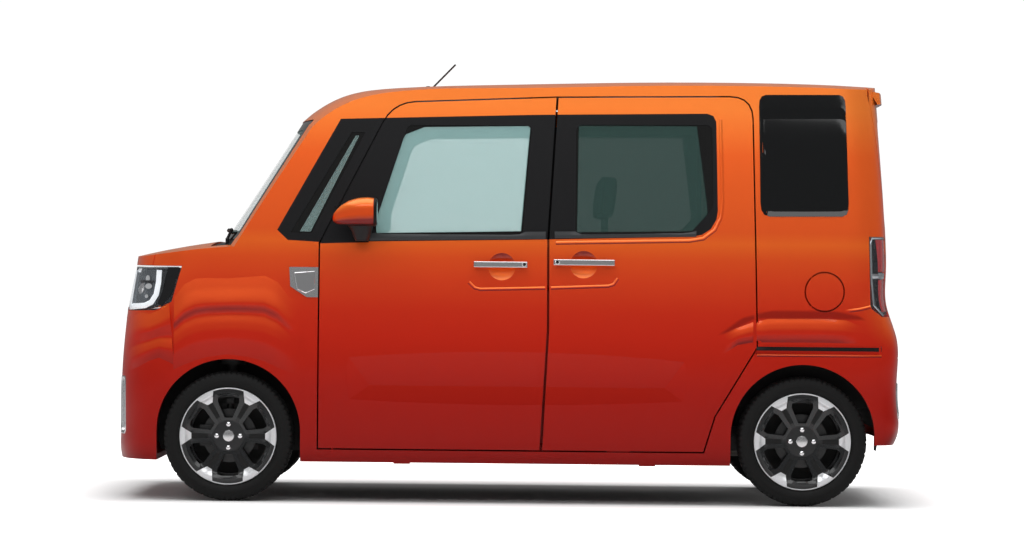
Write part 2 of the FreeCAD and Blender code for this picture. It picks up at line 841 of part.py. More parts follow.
def skin(outer_depth, inner_depth):
    """The wall between two depths of the outer form, on the car's left half."""
    if (outer_depth, inner_depth) not in SKINS:
        SKINS[outer_depth, inner_depth] = form(outer_depth).cut(form(inner_depth))
    return SKINS[outer_depth, inner_depth]


def wall_in(zone, outer_depth, inner_depth):
    """The wall between two depths of the outer form, inside a small zone."""
    return form(outer_depth).common(zone).cut(form(inner_depth))


FAR = HALF_WIDTH + size.overrun
GLASS_DEPTH = size.fender_sheet


def softened(points, corner, reach):
    """The same outline with one corner turned into an arc."""
    before, here, after = points[corner - 1], points[corner], points[(corner + 1) % len(points)]
    ends = []
    for x, z in (before, after):
        share = reach / math.hypot(x - here[0], z - here[1])
        ends.append((here[0] + (x - here[0]) * share, here[1] + (z - here[1]) * share))
    (ax, az), (bx, bz) = ends
    arc = []
    for step in range(SOFT_STEPS + 1):
        part = step / SOFT_STEPS
        first, middle, last = (1 - part) ** 2, 2 * part * (1 - part), part ** 2
        arc.append((first * ax + middle * here[0] + last * bx, first * az + middle * here[1] + last * bz))
    return points[:corner] + arc + points[corner + 1:]


def across_half(points, radius=0):
    """A side-view outline drawn out over the car's left half."""
    return side_prism(points, -size.overrun, FAR, radius)


def arch_space(place, radius):
    """The space of one wheel arch, open downwards."""
    tube = Part.makeCylinder(radius, FAR, Vector(place, 0, size.arch_height), Vector(0, 1, 0))
    below = box((place - radius, 0, -size.overrun), (place + radius, FAR, size.arch_height))
    return tube.fuse(below)


DOOR_FRONT = along(FRONT_DOOR_SHARES[1][0])
FENDER_REAR = DOOR_FRONT + size.door_gap
# Shares of the half width.
width_shares = {"roof": 0.76, "bonnet": 0.86, "tail": 0.80, "lamp_inner": 0.50, "intake": 0.56}
ROOF_HALF, BONNET_HALF, TAIL_HALF, LAMP_INNER, INTAKE_HALF = (
    share * HALF_WIDTH for share in width_shares.values())
BONNET_REAR = along(ROOF_LINE_SHARES[3][0]) + size.bonnet_rear_gap
# Shares of the height.
height_shares = {"bonnet_low": 0.548, "grille_low": 0.448, "intake_low": 0.165, "intake_top": 0.275}
BONNET_LOW = height_shares["bonnet_low"] * HEIGHT
ROOF_REAR = -HALF_LENGTH + size.roof_rear_edge
TAIL_GATE_TOP = ROOF_REAR - size.door_gap
GRILLE_LOW, GRILLE_TOP = height_shares["grille_low"] * HEIGHT, BONNET_LOW - size.door_gap
INTAKE_LOW, INTAKE_TOP = height_shares["intake_low"] * HEIGHT, height_shares["intake_top"] * HEIGHT
# Stations of the planes that bound the pieces.
zone_shares = {"front": -0.3, "tail": 1.4, "screen": -0.4, "screen_rear": 0.3, "floor_step": 0.85}
FRONT_ZONE, TAIL_ZONE = along(zone_shares["front"]), along(zone_shares["tail"])
SCREEN_ZONE, SCREEN_REAR = along(zone_shares["screen"]), along(zone_shares["screen_rear"])
FLOOR_STEP = along(zone_shares["floor_step"])
DOOR_FOOT_SHARES = (0.70, 0.66)
DOOR_FOOT_REAR, DOOR_FOOT_FRONT = (along(share) for share in DOOR_FOOT_SHARES)
PILLAR_SHARES = (0.4, 0.6)
PILLAR_LEVELS = [share * HEIGHT for share in PILLAR_SHARES]

front_door = softened(side_outline(FRONT_DOOR_SHARES), 3, size.door_soft_reach)
rear_door = softened(side_outline(REAR_DOOR_SHARES), 5, size.door_soft_reach)
REAR_DOOR_END = side_outline(REAR_DOOR_SHARES)[6][0]
fender_side = [(FENDER_REAR, z) if index < 2 else (x, z)
               for index, (x, z) in enumerate(side_outline(FENDER_SIDE_SHARES))]
screen = end_outline(SCREEN_SHARES)
tail_gate = [(-TAIL_HALF, size.tailgate_floor), (TAIL_HALF, size.tailgate_floor),
             (TAIL_HALF, HEIGHT + size.overrun), (-TAIL_HALF, HEIGHT + size.overrun)]
bonnet_plan = [(BONNET_REAR, -BONNET_HALF), (HALF_LENGTH + size.overrun, -BONNET_HALF),
               (HALF_LENGTH + size.overrun, BONNET_HALF), (BONNET_REAR, BONNET_HALF)]

head_lamp_space = across_half(side_outline(HEAD_LAMP_SHARES)).cut(
    box((0, -size.overrun, 0), (HALF_LENGTH + size.overrun, LAMP_INNER, HEIGHT)))
tail_lamp_space = across_half(side_outline(TAIL_LAMP_SHARES)).cut(
    box((-HALF_LENGTH - size.overrun, -size.overrun, 0), (0, TAIL_HALF, HEIGHT)))
tail_gate_space = end_prism(inset_outline(tail_gate, -size.door_gap), -HALF_LENGTH - size.overrun, ROOF_REAR)
bonnet_space = plan_prism(inset_outline(bonnet_plan, -size.door_gap), BONNET_LOW - size.door_gap, HEIGHT)
screen_space = end_prism(screen, SCREEN_REAR, SCREEN_ZONE, size.window_corner)
lid_centre = Vector(-size.fuel_lid_place, 0, size.fuel_lid_height)


def side_face(place, height):
    """How far out the car's side is at a place and height."""
    line = Part.makeLine(Vector(place, HALF_WIDTH / 2, height), Vector(place, FAR, height))
    return line.common(form(0)).BoundBox.YMax


def door_axis():
    """The front door's axis on the left: its lower and upper pivots, just inside the skin."""
    place = DOOR_FRONT - size.door_axis_set_back
    low = front_door[1][1]
    (x0, z0), (x1, z1) = front_door[2], front_door[3]
    high = z0 + (x0 - place) / (x0 - x1) * (z1 - z0)
    ends = []
    for z in (low, high):
        ends.append(Vector(place, side_face(place, z) - size.door_axis_cover, z))
    return ends


def door_pivot(fit, overlap):
    """The two pivots of a front door: pins from the frame, or the bores that take them."""
    low, high = door_axis()
    way = (high - low).normalize()
    radius = size.pin_radius + fit
    lower = Part.makeCylinder(radius, size.pin_depth + overlap + fit, low - way * overlap, way)
    upper = Part.makeCylinder(radius, size.pin_depth + overlap * 2 + fit, high + way * overlap * 2, way * -1)
    return [lower, upper]


def pillar_section():
    """The pillar between the doors seen from the front: foot on the sill, post, head in the cantrail."""
    floor_top = size.floor_height + size.floor_sheet + size.seat_gap
    foot_inner = size.floor_half_width + size.seat_gap
    foot_outer = foot_inner + size.skin
    posts = []
    for height in (size.pillar_foot_top, *PILLAR_LEVELS, size.pillar_head):
        half = smooth_value(SIDE_SHARES, height / HEIGHT) * HALF_WIDTH
        posts.append((half - size.door_depth - size.door_gap * 2, height))
    head_inner = ROOF_HALF + size.seat_gap * 4
    head_outer = head_inner + size.pillar_head_depth
    section = [(foot_outer, size.floor_height), (foot_outer, size.pillar_foot_top), *posts]
    head_top = size.pillar_head + size.pillar_depth
    section += [(head_outer, size.pillar_head + size.door_gap * 2), (head_outer, head_top),
                (head_inner, head_top), (head_inner, size.pillar_head + size.pillar_head_rise)]
    section += [(y - size.pillar_depth, z) for y, z in reversed(posts[1:])]
    section += [(posts[0][0] - size.pillar_depth, floor_top), (foot_inner, floor_top),
                (foot_inner, size.floor_height)]
    return section


def crease():
    """A long shallow dent along the doors: it deepens to a line, and fades at both ends."""
    x0, x1 = -size.crease_rear, size.crease_front
    middle = (x0 + x1) / 2
    low_y = side_face(middle, size.crease_low)
    high_y = side_face(middle, size.crease_high)
    line_y = side_face(middle, size.crease_line) - size.crease_depth
    rows = []
    for x, line_x in ((x0, x0 + size.crease_fade), (x1, x1 - size.crease_fade)):
        rows.append([Vector(x, low_y, size.crease_low), Vector(line_x, line_y, size.crease_line),
                     Vector(x, high_y, size.crease_high), Vector(x, FAR, size.crease_high),
                     Vector(x, FAR, size.crease_low)])
    first, second = rows
    outlines = [[first[0], first[1], first[2]], [second[0], second[1], second[2]],
                [first[0], first[2], first[3], first[4]], [second[0], second[2], second[3], second[4]]]
    for index in range(len(first)):
        after = (index + 1) % len(first)
        outlines.append([first[index], first[after], second[after], second[index]])
    faces = [Part.Face(Part.makePolygon(outline + outline[:1])) for outline in outlines]
    return Part.Solid(Part.Shell(faces))


def scoop(place, height):
    """The round dent behind a door handle."""
    radius = (size.scoop_radius ** 2 + size.scoop_depth ** 2) / (2 * size.scoop_depth)
    centre = side_face(place, height) + radius - size.scoop_depth
    return Part.makeSphere(radius, Vector(place, centre, height))


def rail_slot():
    """The slot along the rear wing for the sliding door's upper rail."""
    floor = side_face(-size.rail_slot_end + size.tail_corner / 2, size.rail_slot_low) - size.rail_slot_depth
    return box((-size.rail_slot_end, floor, size.rail_slot_low),
               (REAR_DOOR_END + size.overrun, FAR, size.rail_slot_high))


def flare(place, top):
    """The raised patch over a wheel arch, faded out at both ends."""
    line = []
    for shift, rise in ((-size.flare_reach, 0), (-size.flare_full, size.flare_rise),
                        (size.flare_full, size.flare_rise), (size.flare_reach, 0)):
        x = place + shift
        line.append((x, side_face(x, size.flare_line) + rise))
    inner = HALF_WIDTH - size.wall
    patch = plan_prism([(line[0][0], inner), *line, (line[-1][0], inner)], size.rail_bottom, top)
    disc = Part.makeCylinder(size.flare_radius, FAR, Vector(place, 0, size.tyre_radius), Vector(0, 1, 0))
    return patch.common(disc).cut([form(size.flare_root), arch_space(place, size.arch_radius)])


def make_side_frame():
    """One body side: sill, pillars, cantrail and rear wing around the two door openings."""
    frame = skin(0, size.wall).cut(box((-HALF_LENGTH - size.overrun, -size.overrun, 0),
                                       (HALF_LENGTH + size.overrun, ROOF_HALF, HEIGHT + size.overrun)))
    sill = box((FLOOR_STEP, size.floor_half_width, size.floor_height - size.floor_sheet),
               (FENDER_REAR, HALF_WIDTH - size.wall, size.sill_inner_height)).common(form(0))
    middle = (front_door[0][0] + rear_door[1][0]) / 2
    pillar = end_prism(pillar_section(), middle - size.pillar_width / 2, middle + size.pillar_width / 2)
    openings = [
        across_half(fender_side),
        across_half(side_outline(BUMPER_SIDE_SHARES)),
        across_half(side_outline(REAR_BUMPER_SHARES)),
        head_lamp_space, tail_lamp_space, tail_gate_space, screen_space, bonnet_space,
        across_half(inset_outline(front_door, -size.door_gap)),
        across_half(inset_outline(rear_door, -size.door_gap)),
        across_half(side_outline(CORNER_WINDOW_SHARES)),
        across_half(side_outline(QUARTER_WINDOW_SHARES), size.window_corner),
        arch_space(REAR_AXLE, size.arch_radius),
        box((-HALF_LENGTH, 0, 0), (HALF_LENGTH, size.floor_half_width, size.rail_bottom)),
        rail_slot(),
    ]
    frame = frame.cut(openings)
    arch = flare(REAR_AXLE, size.rear_flare_top).cut(openings)
    frame_left = frame.fuse([sill, pillar.common(form(size.fender_sheet)), *door_pivot(0, size.overrun),
                             *arch.Solids, *jack_pads()])
    frame_right = frame_left.copy()
    floor = lid_centre + Vector(0, side_face(lid_centre.x, lid_centre.z) - size.fuel_pocket_depth, 0)
    pocket = Part.makeCylinder(size.fuel_lid_radius + size.door_gap, FAR, floor, Vector(0, 1, 0))
    frame_left = frame_left.cut(pocket).fuse(lid_pin(0, size.lug_half_width))
    return largest(frame_left), mirrored(largest(frame_right))


def jack_pads():
    """The flat pads under a sill where a jack lifts the car."""
    pads = []
    for place in (size.jack_front, -size.jack_rear):
        low = (place - size.jack_pad_length / 2, size.jack_pad_inner, size.sill_height - size.jack_pad_depth)
        pads.append(box(low, (place + size.jack_pad_length / 2, size.jack_pad_inner + size.jack_pad_width,
                              size.sill_height + size.jack_pad_depth)))
    return pads


def largest(shape):
    """The biggest solid of a shape."""
    return max(shape.Solids, key=lambda solid: solid.Volume)


def lid_axis():
    """The fuel lid's axis: its lower and upper ends, in the middle of the lid's sheet, near its front edge."""
    set_forward = size.fuel_lid_radius - size.fuel_axis_set_back
    reach = math.sqrt((size.fuel_lid_radius + size.door_gap) ** 2 - set_forward ** 2)
    ends = []
    for z in (lid_centre.z - reach, lid_centre.z + reach):
        place = lid_centre.x + set_forward
        ends.append(Vector(place, side_face(place, z) - size.fender_sheet / 2, z))
    return ends


def lid_pin(fit, overlap):
    """The pin of the fuel lid between the pocket's walls, or with a fit the bore that takes it."""
    low, high = lid_axis()
    way = (high - low).normalize()
    return Part.makeCylinder(size.fuel_pin_radius + fit, (high - low).Length + overlap * 2,
                             low - way * overlap, way)


def inner_zone(outline):
    """The space of a door's inner box: its outline stepped in, and only near the car's side."""
    return side_prism(inset_outline(outline, size.door_step), ROOF_HALF - size.door_step, FAR)


def make_front_door():
    """A front door: outer skin at the full outline, inner box stepped in all round, windows cut."""
    outer = skin(0, size.skin).common(across_half(front_door))
    inner = skin(size.skin, size.door_depth).common(inner_zone(front_door))
    door = outer.fuse(inner)
    window = across_half(side_outline(FRONT_WINDOW_SHARES), size.window_corner)
    dents = [crease(), scoop(size.front_scoop_place, size.handle_line)]
    return largest(door.cut([window, *dents, *door_pivot(size.pin_fit, size.overrun)]))


def make_rear_door():
    """A sliding rear door, with the foot that stands on the sill's rail."""
    outer = skin(0, size.skin).common(across_half(rear_door))
    inner = skin(size.skin, size.door_depth).common(inner_zone(rear_door))
    window = across_half(side_outline(REAR_WINDOW_SHARES), size.window_corner)
    door = outer.fuse(inner).cut([window, crease(), scoop(-size.rear_scoop_place, size.rear_handle_line)])
    low = rear_door[0][1]
    half = side_face(DOOR_FOOT_REAR, low)
    foot = box((DOOR_FOOT_REAR, half - size.skin, low - size.door_gap + size.seat_gap),
               (DOOR_FOOT_FRONT, half - size.skin / 2, low + size.door_step))
    return largest(door.fuse(foot))


def window_glass(shares, radius):
    """The glass of one side window, flush in its opening."""
    return wall_in(across_half(side_outline(shares), radius), size.glass_inset, GLASS_DEPTH)


def both_sides(half):
    """A piece that runs across the car, from its left half."""
    whole = half.fuse(mirrored(half))
    return whole.removeSplitter()


def hinge_lug(point, towards):
    """A pin along Y on a post: the post runs from the pin towards a neighbour's wall."""
    thick, wide = size.lug_half_thickness, size.lug_half_width
    way = Vector(*towards).normalize()
    pin = Part.makeCylinder(thick - size.lug_clearance, (wide + size.lug_pin_reach) * 2,
                            point - Vector(0, wide + size.lug_pin_reach, 0), Vector(0, 1, 0))
    post = Part.makeBox(thick * 2, wide * 2, size.lug_length, Vector(-thick, -wide, 0))
    post.rotate(Vector(0, 0, 0), Vector(0, 1, 0), math.degrees(math.atan2(way.x, way.z)))
    post.translate(point)
    return pin.fuse(post)


def hinge_notch(point, box_low, box_high):
    """The room a lug needs in the panel that turns about it."""
    wide = size.lug_half_width + size.lug_pin_reach + size.lug_clearance
    bore = Part.makeCylinder(size.lug_half_thickness - size.lug_clearance + size.pin_fit, wide * 2,
                             point - Vector(0, wide, 0), Vector(0, 1, 0))
    wide = size.lug_half_width + size.lug_clearance
    room = box((point.x + box_low[0], point.y - wide, point.z + box_low[1]),
               (point.x + box_high[0], point.y + wide, point.z + box_high[1]))
    return bore.fuse(room)


def top_height(place, lateral):
    """The height of the outer form's top at a place."""
    line = Part.makeLine(Vector(place, lateral, HEIGHT / 2), Vector(place, lateral, HEIGHT + size.overrun))
    return line.common(form(0)).BoundBox.ZMax


def bonnet_axis():
    """The bonnet's axis: just ahead of its rear edge and just under its crown."""
    place = BONNET_REAR + size.lid_axis_set_back
    return Vector(place, 0, top_height(place, size.lug_offset) - size.lid_axis_depth)


def tail_gate_axis():
    """The tailgate's axis: just behind its front edge and just under the roof's crown."""
    place = TAIL_GATE_TOP - size.lid_axis_set_back
    return Vector(place, 0, top_height(place, size.lug_offset) - size.lid_axis_depth)


def make_bonnet():
    """The bonnet, a crowned panel hinged at its rear edge."""
    half = skin(0, size.skin).common(plan_prism(bonnet_plan, BONNET_LOW, HEIGHT))
    bonnet = both_sides(half)
    axis = bonnet_axis()
    reach = size.skin + size.overrun
    for side in (LEFT, RIGHT):
        point = axis + Vector(0, side * size.lug_offset, 0)
        high = (size.lug_half_thickness + size.lug_clearance, size.overrun)
        bonnet = bonnet.cut(hinge_notch(point, (-reach, -reach), high))
    return largest(bonnet)


def make_cowl():
    """The cowl under the windscreen, with the two lugs that carry the bonnet."""
    zone = box((size.firewall_place + size.firewall_sheet, -size.overrun, BONNET_LOW - size.wall),
               (BONNET_REAR - size.door_gap, BONNET_HALF, HEIGHT))
    cowl = both_sides(skin(size.fender_sheet, size.wall).common(zone).cut(screen_space))
    axis = bonnet_axis()
    lugs = []
    for side in (LEFT, RIGHT):
        lugs.append(hinge_lug(axis + Vector(0, side * size.lug_offset, 0), (-1, 0, -1)))
    return largest(cowl.fuse(lugs))


SPOILER_SHARES = [(1.655, 0.975), (1.95, 0.962), (1.95, 0.951), (1.74, 0.943)]


def make_spoiler():
    """The lip over the tailgate, which follows its curve."""
    bar = side_prism(side_outline(SPOILER_SHARES), -size.overrun, size.spoiler_half_width)
    return both_sides(bar.common(form(-size.spoiler_reach)))


def make_tail_gate():
    """The tailgate: full height from the bumper to the roof, its window cut."""
    zone = end_prism(tail_gate, -HALF_LENGTH - size.overrun, TAIL_GATE_TOP)
    half = skin(0, size.wall).common(zone)
    gate = both_sides(half).fuse(make_spoiler())
    gate = gate.cut(end_prism(end_outline(TAIL_WINDOW_SHARES), -HALF_LENGTH - size.overrun, TAIL_ZONE,
                              size.window_corner * 2))
    axis = tail_gate_axis()
    reach = size.wall + size.overrun
    thick = size.lug_half_thickness + size.lug_clearance
    for side in (LEFT, RIGHT):
        point = axis + Vector(0, side * size.lug_offset, 0)
        gate = gate.cut(hinge_notch(point, (-thick, -reach), (reach, size.overrun)))
    return largest(gate)


def make_roof():
    """The roof panel between the cantrails, with the lugs that carry the tailgate."""
    zone = box((ROOF_REAR, -size.overrun, SCREEN_SHARES[2][1] * HEIGHT - size.wall * 2),
               (SCREEN_ZONE, ROOF_HALF, HEIGHT + size.overrun))
    roof = both_sides(skin(0, size.wall).common(zone).cut(screen_space))
    axis = tail_gate_axis()
    lugs = []
    for side in (LEFT, RIGHT):
        lugs.append(hinge_lug(axis + Vector(0, side * size.lug_offset, 0), (1, 0, -1)))
    return largest(roof.fuse(lugs))


def make_fender():
    """A front wing: thin skin from the door to the lamp and bumper, with its arch."""
    wing = skin(0, size.fender_sheet).common(across_half(fender_side))
    arch = flare(FRONT_AXLE, size.front_flare_top).common(across_half(fender_side))
    wing = wing.fuse(arch.Solids)
    wing = wing.cut([bonnet_space, head_lamp_space, screen_space, arch_space(FRONT_AXLE, size.arch_radius),
                     box((0, -size.overrun, 0), (HALF_LENGTH + size.overrun, BONNET_HALF, HEIGHT))])
    return largest(wing)


def plate_box(end, height, margin, near, far):
    """A slab behind a licence plate's outline at one end of the car, between two depths from the end."""
    half, tall = size.plate_width / 2 + margin, size.plate_height / 2 + margin
    low, high = sorted((end * (HALF_LENGTH - near), end * (HALF_LENGTH - far)))
    return box((low, -half, height - tall), (high, half, height + tall))


def plate_bolts(end, height):
    """The two bolt holes of a licence plate."""
    way = Vector(end, 0, 0)
    reach = size.plate_recess + size.skin + size.overrun
    return [Part.makeCylinder(size.plate_bolt_radius, reach * 2,
                              Vector(end * (HALF_LENGTH - reach), side * size.plate_bolt_spacing / 2, height), way)
            for side in (LEFT, RIGHT)]


def plate_space(end, height):
    """The recess of a licence plate and its bolt holes."""
    recess = plate_box(end, height, size.plate_margin, -size.overrun, size.plate_recess)
    return recess.fuse(plate_bolts(end, height))


def make_plates():
    """The blank licence plates in their recesses."""
    plates = []
    for end, height in ((1, size.front_plate_height), (-1, size.rear_plate_height)):
        back = size.plate_recess - size.seat_gap
        plates.append(plate_box(end, height, 0, back - size.plate_sheet, back).cut(plate_bolts(end, height)))
    return Part.makeCompound(plates)


def make_front_bumper():
    """The front bumper, open at the lower intake."""
    half = skin(0, size.skin).common(across_half(side_outline(BUMPER_SIDE_SHARES)))
    intake = end_prism([(-INTAKE_HALF, INTAKE_LOW), (INTAKE_HALF, INTAKE_LOW), (INTAKE_HALF, INTAKE_TOP),
                        (-INTAKE_HALF, INTAKE_TOP)], FRONT_ZONE, HALF_LENGTH + size.overrun)
    grille_zone = box((FRONT_ZONE, -size.overrun, GRILLE_LOW),
                      (HALF_LENGTH + size.overrun, LAMP_INNER, HEIGHT))
    half = half.cut([intake, grille_zone, head_lamp_space, arch_space(FRONT_AXLE, size.arch_radius),
                     plate_space(1, size.front_plate_height), bumper_lamp_zone(0)])
    return largest(both_sides(half))


BAR_COUNT = 4


def make_grille():
    """The upper grille between the lamps and the bars of the lower intake."""
    wall = skin(size.glass_inset, size.skin)
    upper = wall.common(box((FRONT_ZONE, -size.overrun, GRILLE_LOW),
                            (HALF_LENGTH + size.overrun, LAMP_INNER, GRILLE_TOP)))
    lower = skin(size.fender_sheet, size.skin).common(
        box((FRONT_ZONE, -size.overrun, INTAKE_LOW), (HALF_LENGTH + size.overrun, INTAKE_HALF, INTAKE_TOP)))
    pitch = (INTAKE_TOP - INTAKE_LOW) / BAR_COUNT
    for bar in range(BAR_COUNT):
        low = INTAKE_LOW + pitch * bar + pitch / 4
        lower = lower.cut(box((FRONT_ZONE, -FAR, low), (HALF_LENGTH + size.overrun, INTAKE_HALF - pitch / 4,
                                                        low + pitch / 2)))
    return Part.makeCompound([largest(both_sides(upper)), largest(both_sides(lower))])


def bumper_lamp_zone(inset):
    """The upright opening of a lamp in the front bumper's corner."""
    return box((FRONT_ZONE, size.bumper_lamp_inner + inset, size.bumper_lamp_low + inset),
               (HALF_LENGTH + size.overrun, size.bumper_lamp_outer - inset, size.bumper_lamp_high - inset))


def make_bumper_lamps():
    """The upright lamps in the front bumper's corners."""
    return pair(largest(wall_in(bumper_lamp_zone(size.seat_gap), size.glass_inset, size.skin)))


def make_rear_bumper():
    """The rear bumper, wrapped round to the rear arches."""
    zone = across_half(side_outline(REAR_BUMPER_SHARES)).fuse(
        box((-HALF_LENGTH - size.overrun, -size.overrun, -size.overrun),
            (TAIL_ZONE, TAIL_HALF + size.skin, size.tailgate_floor - size.door_gap)))
    half = skin(0, size.skin).common(zone)
    below = box((-HALF_LENGTH - size.overrun, -size.overrun, 0), (0, FAR, size.rear_bumper_low))
    half = half.cut([tail_gate_space, tail_lamp_space, arch_space(REAR_AXLE, size.arch_radius), below,
                     plate_space(-1, size.rear_plate_height)])
    return largest(both_sides(half))


def make_head_lamps():
    """The headlamps, deep blocks that wrap round the front corners."""
    return pair(largest(form(0).common(head_lamp_space).cut(form(size.door_depth))))


def make_tail_lamps():
    """The tail lamps, tall blocks at the rear corners."""
    return pair(largest(form(0).common(tail_lamp_space).cut(form(size.wall))))


def make_floor():
    """The floor with its step, firewall, front rails, crossmember, wheel houses and rear panel."""
    top = size.floor_height + size.floor_sheet
    half = size.floor_half_width
    step = FLOOR_STEP
    tail = -HALF_LENGTH + size.rear_panel_inset
    nose = HALF_LENGTH - size.front_panel_inset
    rear_top = size.rear_floor_height + size.floor_sheet
    rail_low, rail_high = size.rail_bottom, size.rail_bottom + size.rail_height
    rail_out = size.rail_half_gap + size.rail_width
    firewall_front = size.firewall_place + size.firewall_sheet
    pieces = [
        box((step, -half, size.floor_height), (firewall_front, half, top)),
        box((step - size.floor_sheet, -half, size.floor_height), (step, half, rear_top)),
        box((tail, -half, size.rear_floor_height), (step, half, rear_top)),
        box((tail, -half + size.wall, size.rail_bottom), (tail + size.floor_sheet, half - size.wall, rear_top)),
        box((size.firewall_place, -half, size.floor_height), (firewall_front, half, size.firewall_height)),
        box((nose, -rail_out, size.rail_bottom),
            (nose + size.front_panel_sheet, rail_out, size.front_panel_height)),
    ]
    for side in (LEFT, RIGHT):
        inner, outer = sorted((side * size.rail_half_gap, side * rail_out))
        pieces.append(box((size.firewall_place, inner, rail_low), (nose, outer, rail_high)))
    spaces = []
    for place, inner in ((FRONT_AXLE, size.house_inner_face), (REAR_AXLE, size.rear_house_inner_face)):
        for side in (LEFT, RIGHT):
            across = Vector(0, side, 0)
            shell = Part.makeCylinder(size.house_radius, size.house_outer_face - inner + size.house_sheet,
                                      Vector(place, side * (inner - size.house_sheet), size.arch_height), across)
            room = Part.makeCylinder(size.house_radius - size.house_sheet, size.house_outer_face,
                                     Vector(place, side * inner, size.arch_height), across)
            low, high = sorted((side * inner, side * size.house_outer_face * 2))
            below = box((place - size.house_radius + size.house_sheet, low, -size.overrun),
                        (place + size.house_radius - size.house_sheet, high, size.arch_height))
            pieces.append(shell.cut(box((place - size.house_radius * 2, -FAR, -size.overrun),
                                        (place + size.house_radius * 2, FAR, size.floor_height))))
            spaces += [room, below]
            if place == REAR_AXLE:
                low, high = sorted((side * inner, side * (inner - size.house_sheet - size.seat_gap)))
                spaces.append(box((place - size.house_radius, low, -size.overrun),
                                  (place + size.house_radius, high, size.rear_floor_height)))
    for side in (LEFT, RIGHT):
        foot = Vector(FRONT_AXLE, side * size.strut_offset, size.arch_height + size.house_radius / 2)
        pieces.append(Part.makeCylinder(size.tower_radius, size.tower_top - foot.z, foot))
        spaces.append(Part.makeCylinder(size.tower_radius - size.house_sheet, size.strut_top - foot.z, foot))
    floor = joined(pieces[0], *pieces[1:]).cut(spaces)
    return largest(floor)


def make_dashboard():
    """The dashboard with its lip over the dials and the steering column's shroud."""
    front, rear = size.firewall_place, size.dash_rear
    outline = [(front, size.dash_top), (rear + size.dash_lip, size.dash_top), (rear, size.dash_top - size.dash_lip),
               (rear + size.dash_lip, size.dash_bottom + size.dash_lip), (rear + size.dash_lip * 2, size.dash_bottom),
               (front, size.dash_bottom)]
    dash = side_prism(outline, -size.dash_half_width, size.dash_half_width, size.seat_round / 2)
    hub, way = steering_line()
    start = hub + way * (size.steering_hub_depth + size.pin_fit)
    column = Part.makeCylinder(size.column_radius, size.column_length, start, way)
    bore = Part.makeCylinder(size.pin_radius + size.pin_fit, size.column_length / 2, start, way)
    return largest(dash.fuse(column).cut(bore))


def steering_line():
    """The steering wheel's centre and the direction of its column, down towards the dashboard."""
    lean = math.radians(size.steering_lean)
    return (Vector(size.steering_place, -size.driver_offset, size.steering_height),
            Vector(math.cos(lean), 0, -math.sin(lean)))


def make_steering_wheel():
    """The steering wheel: rim, hub, three spokes and the shaft that runs in the column."""
    hub, way = steering_line()
    grip = Part.makeTorus(size.steering_wheel_radius - size.steering_grip_radius, size.steering_grip_radius)
    centre = Part.makeCylinder(size.steering_hub_radius, size.steering_hub_depth)
    shaft = Part.makeCylinder(size.pin_radius, size.steering_hub_depth + size.column_length / 3)
    spokes = []
    wide, thick = size.steering_spoke_width, size.steering_spoke_sheet
    for angle in (0, 180, 270):
        spoke = box((0, -wide / 2, -thick / 2), (size.steering_wheel_radius - size.steering_grip_radius,
                                                 wide / 2, thick / 2))
        spoke.rotate(Vector(0, 0, 0), Vector(0, 0, 1), angle)
        spokes.append(spoke)
    wheel = grip.fuse([centre, shaft, *spokes])
    wheel.rotate(Vector(0, 0, 0), Vector(0, 0, 1), 90)
    wheel.rotate(Vector(0, 0, 0), Vector(0, 1, 0), 90 + size.steering_lean)
    wheel.translate(hub)
    return largest(wheel)


def seat_profile(place, front, top, foot_front, foot_rear, foot, back_top):
    """A seat seen from the side: cushion, back and foot; place is where back and cushion meet."""
    depth, lean = size.cushion_depth, size.back_lean
    return [
        (place + front, top - depth), (place + front, top), (place, top - size.seat_round),
        (place - lean, back_top), (place - lean - size.back_depth, back_top - size.seat_round),
        (place - size.back_depth, top - depth), (place - foot_rear, top - depth), (place - foot_rear, foot),
        (place + foot_front, foot), (place + foot_front, top - depth),
    ]


def make_front_seats():
    """The two front seats with their head rests."""
    place = -size.cushion_rear
    foot = size.floor_height + size.floor_sheet + size.seat_gap
    outline = seat_profile(place, size.cushion_front + size.cushion_rear, size.cushion_top,
                           size.cushion_front, 0, foot, size.back_top)
    low = size.seat_offset - size.seat_width / 2
    seat = side_prism(outline, low, low + size.seat_width)
    top = size.back_top - size.seat_round * 2
    rest_place = place - size.back_lean - size.back_depth / 2
    rest_low = size.back_top + size.head_rest_gap
    rest = box((rest_place - size.head_rest_depth / 2,
                size.seat_offset - size.head_rest_width / 2, rest_low),
               (rest_place + size.head_rest_depth / 2, size.seat_offset + size.head_rest_width / 2,
                rest_low + size.head_rest_height))
    rest = rest.makeFillet(size.seat_round / 2, rest.Edges)
    posts = [rod((rest_place, size.seat_offset + side * size.head_rest_post_span / 2, top),
                 (rest_place, size.seat_offset + side * size.head_rest_post_span / 2, rest_low + size.head_rest_gap),
                 size.head_rest_post) for side in (LEFT, RIGHT)]
    return pair(largest(seat.fuse([rest, *posts])))


def make_rear_seat():
    """The rear bench on the raised floor."""
    place = -size.rear_seat_place - size.rear_cushion_length
    foot = size.rear_floor_height + size.floor_sheet + size.seat_gap
    outline = seat_profile(place, size.rear_cushion_length, size.cushion_top + size.seat_round,
                           size.rear_cushion_length / 2, 0, foot, size.rear_back_top)
    room = size.rear_house_inner_face - size.house_sheet * 2
    seat = side_prism(outline, -size.rear_seat_width / 2, size.rear_seat_width / 2)
    for side in (LEFT, RIGHT):
        low, high = sorted((side * room, side * FAR))
        seat = seat.cut(box((REAR_AXLE - size.house_radius * 2, low, 0),
                            (REAR_AXLE + size.house_radius * 2, high, size.arch_height + size.house_radius + size.overrun)))
    return largest(seat)


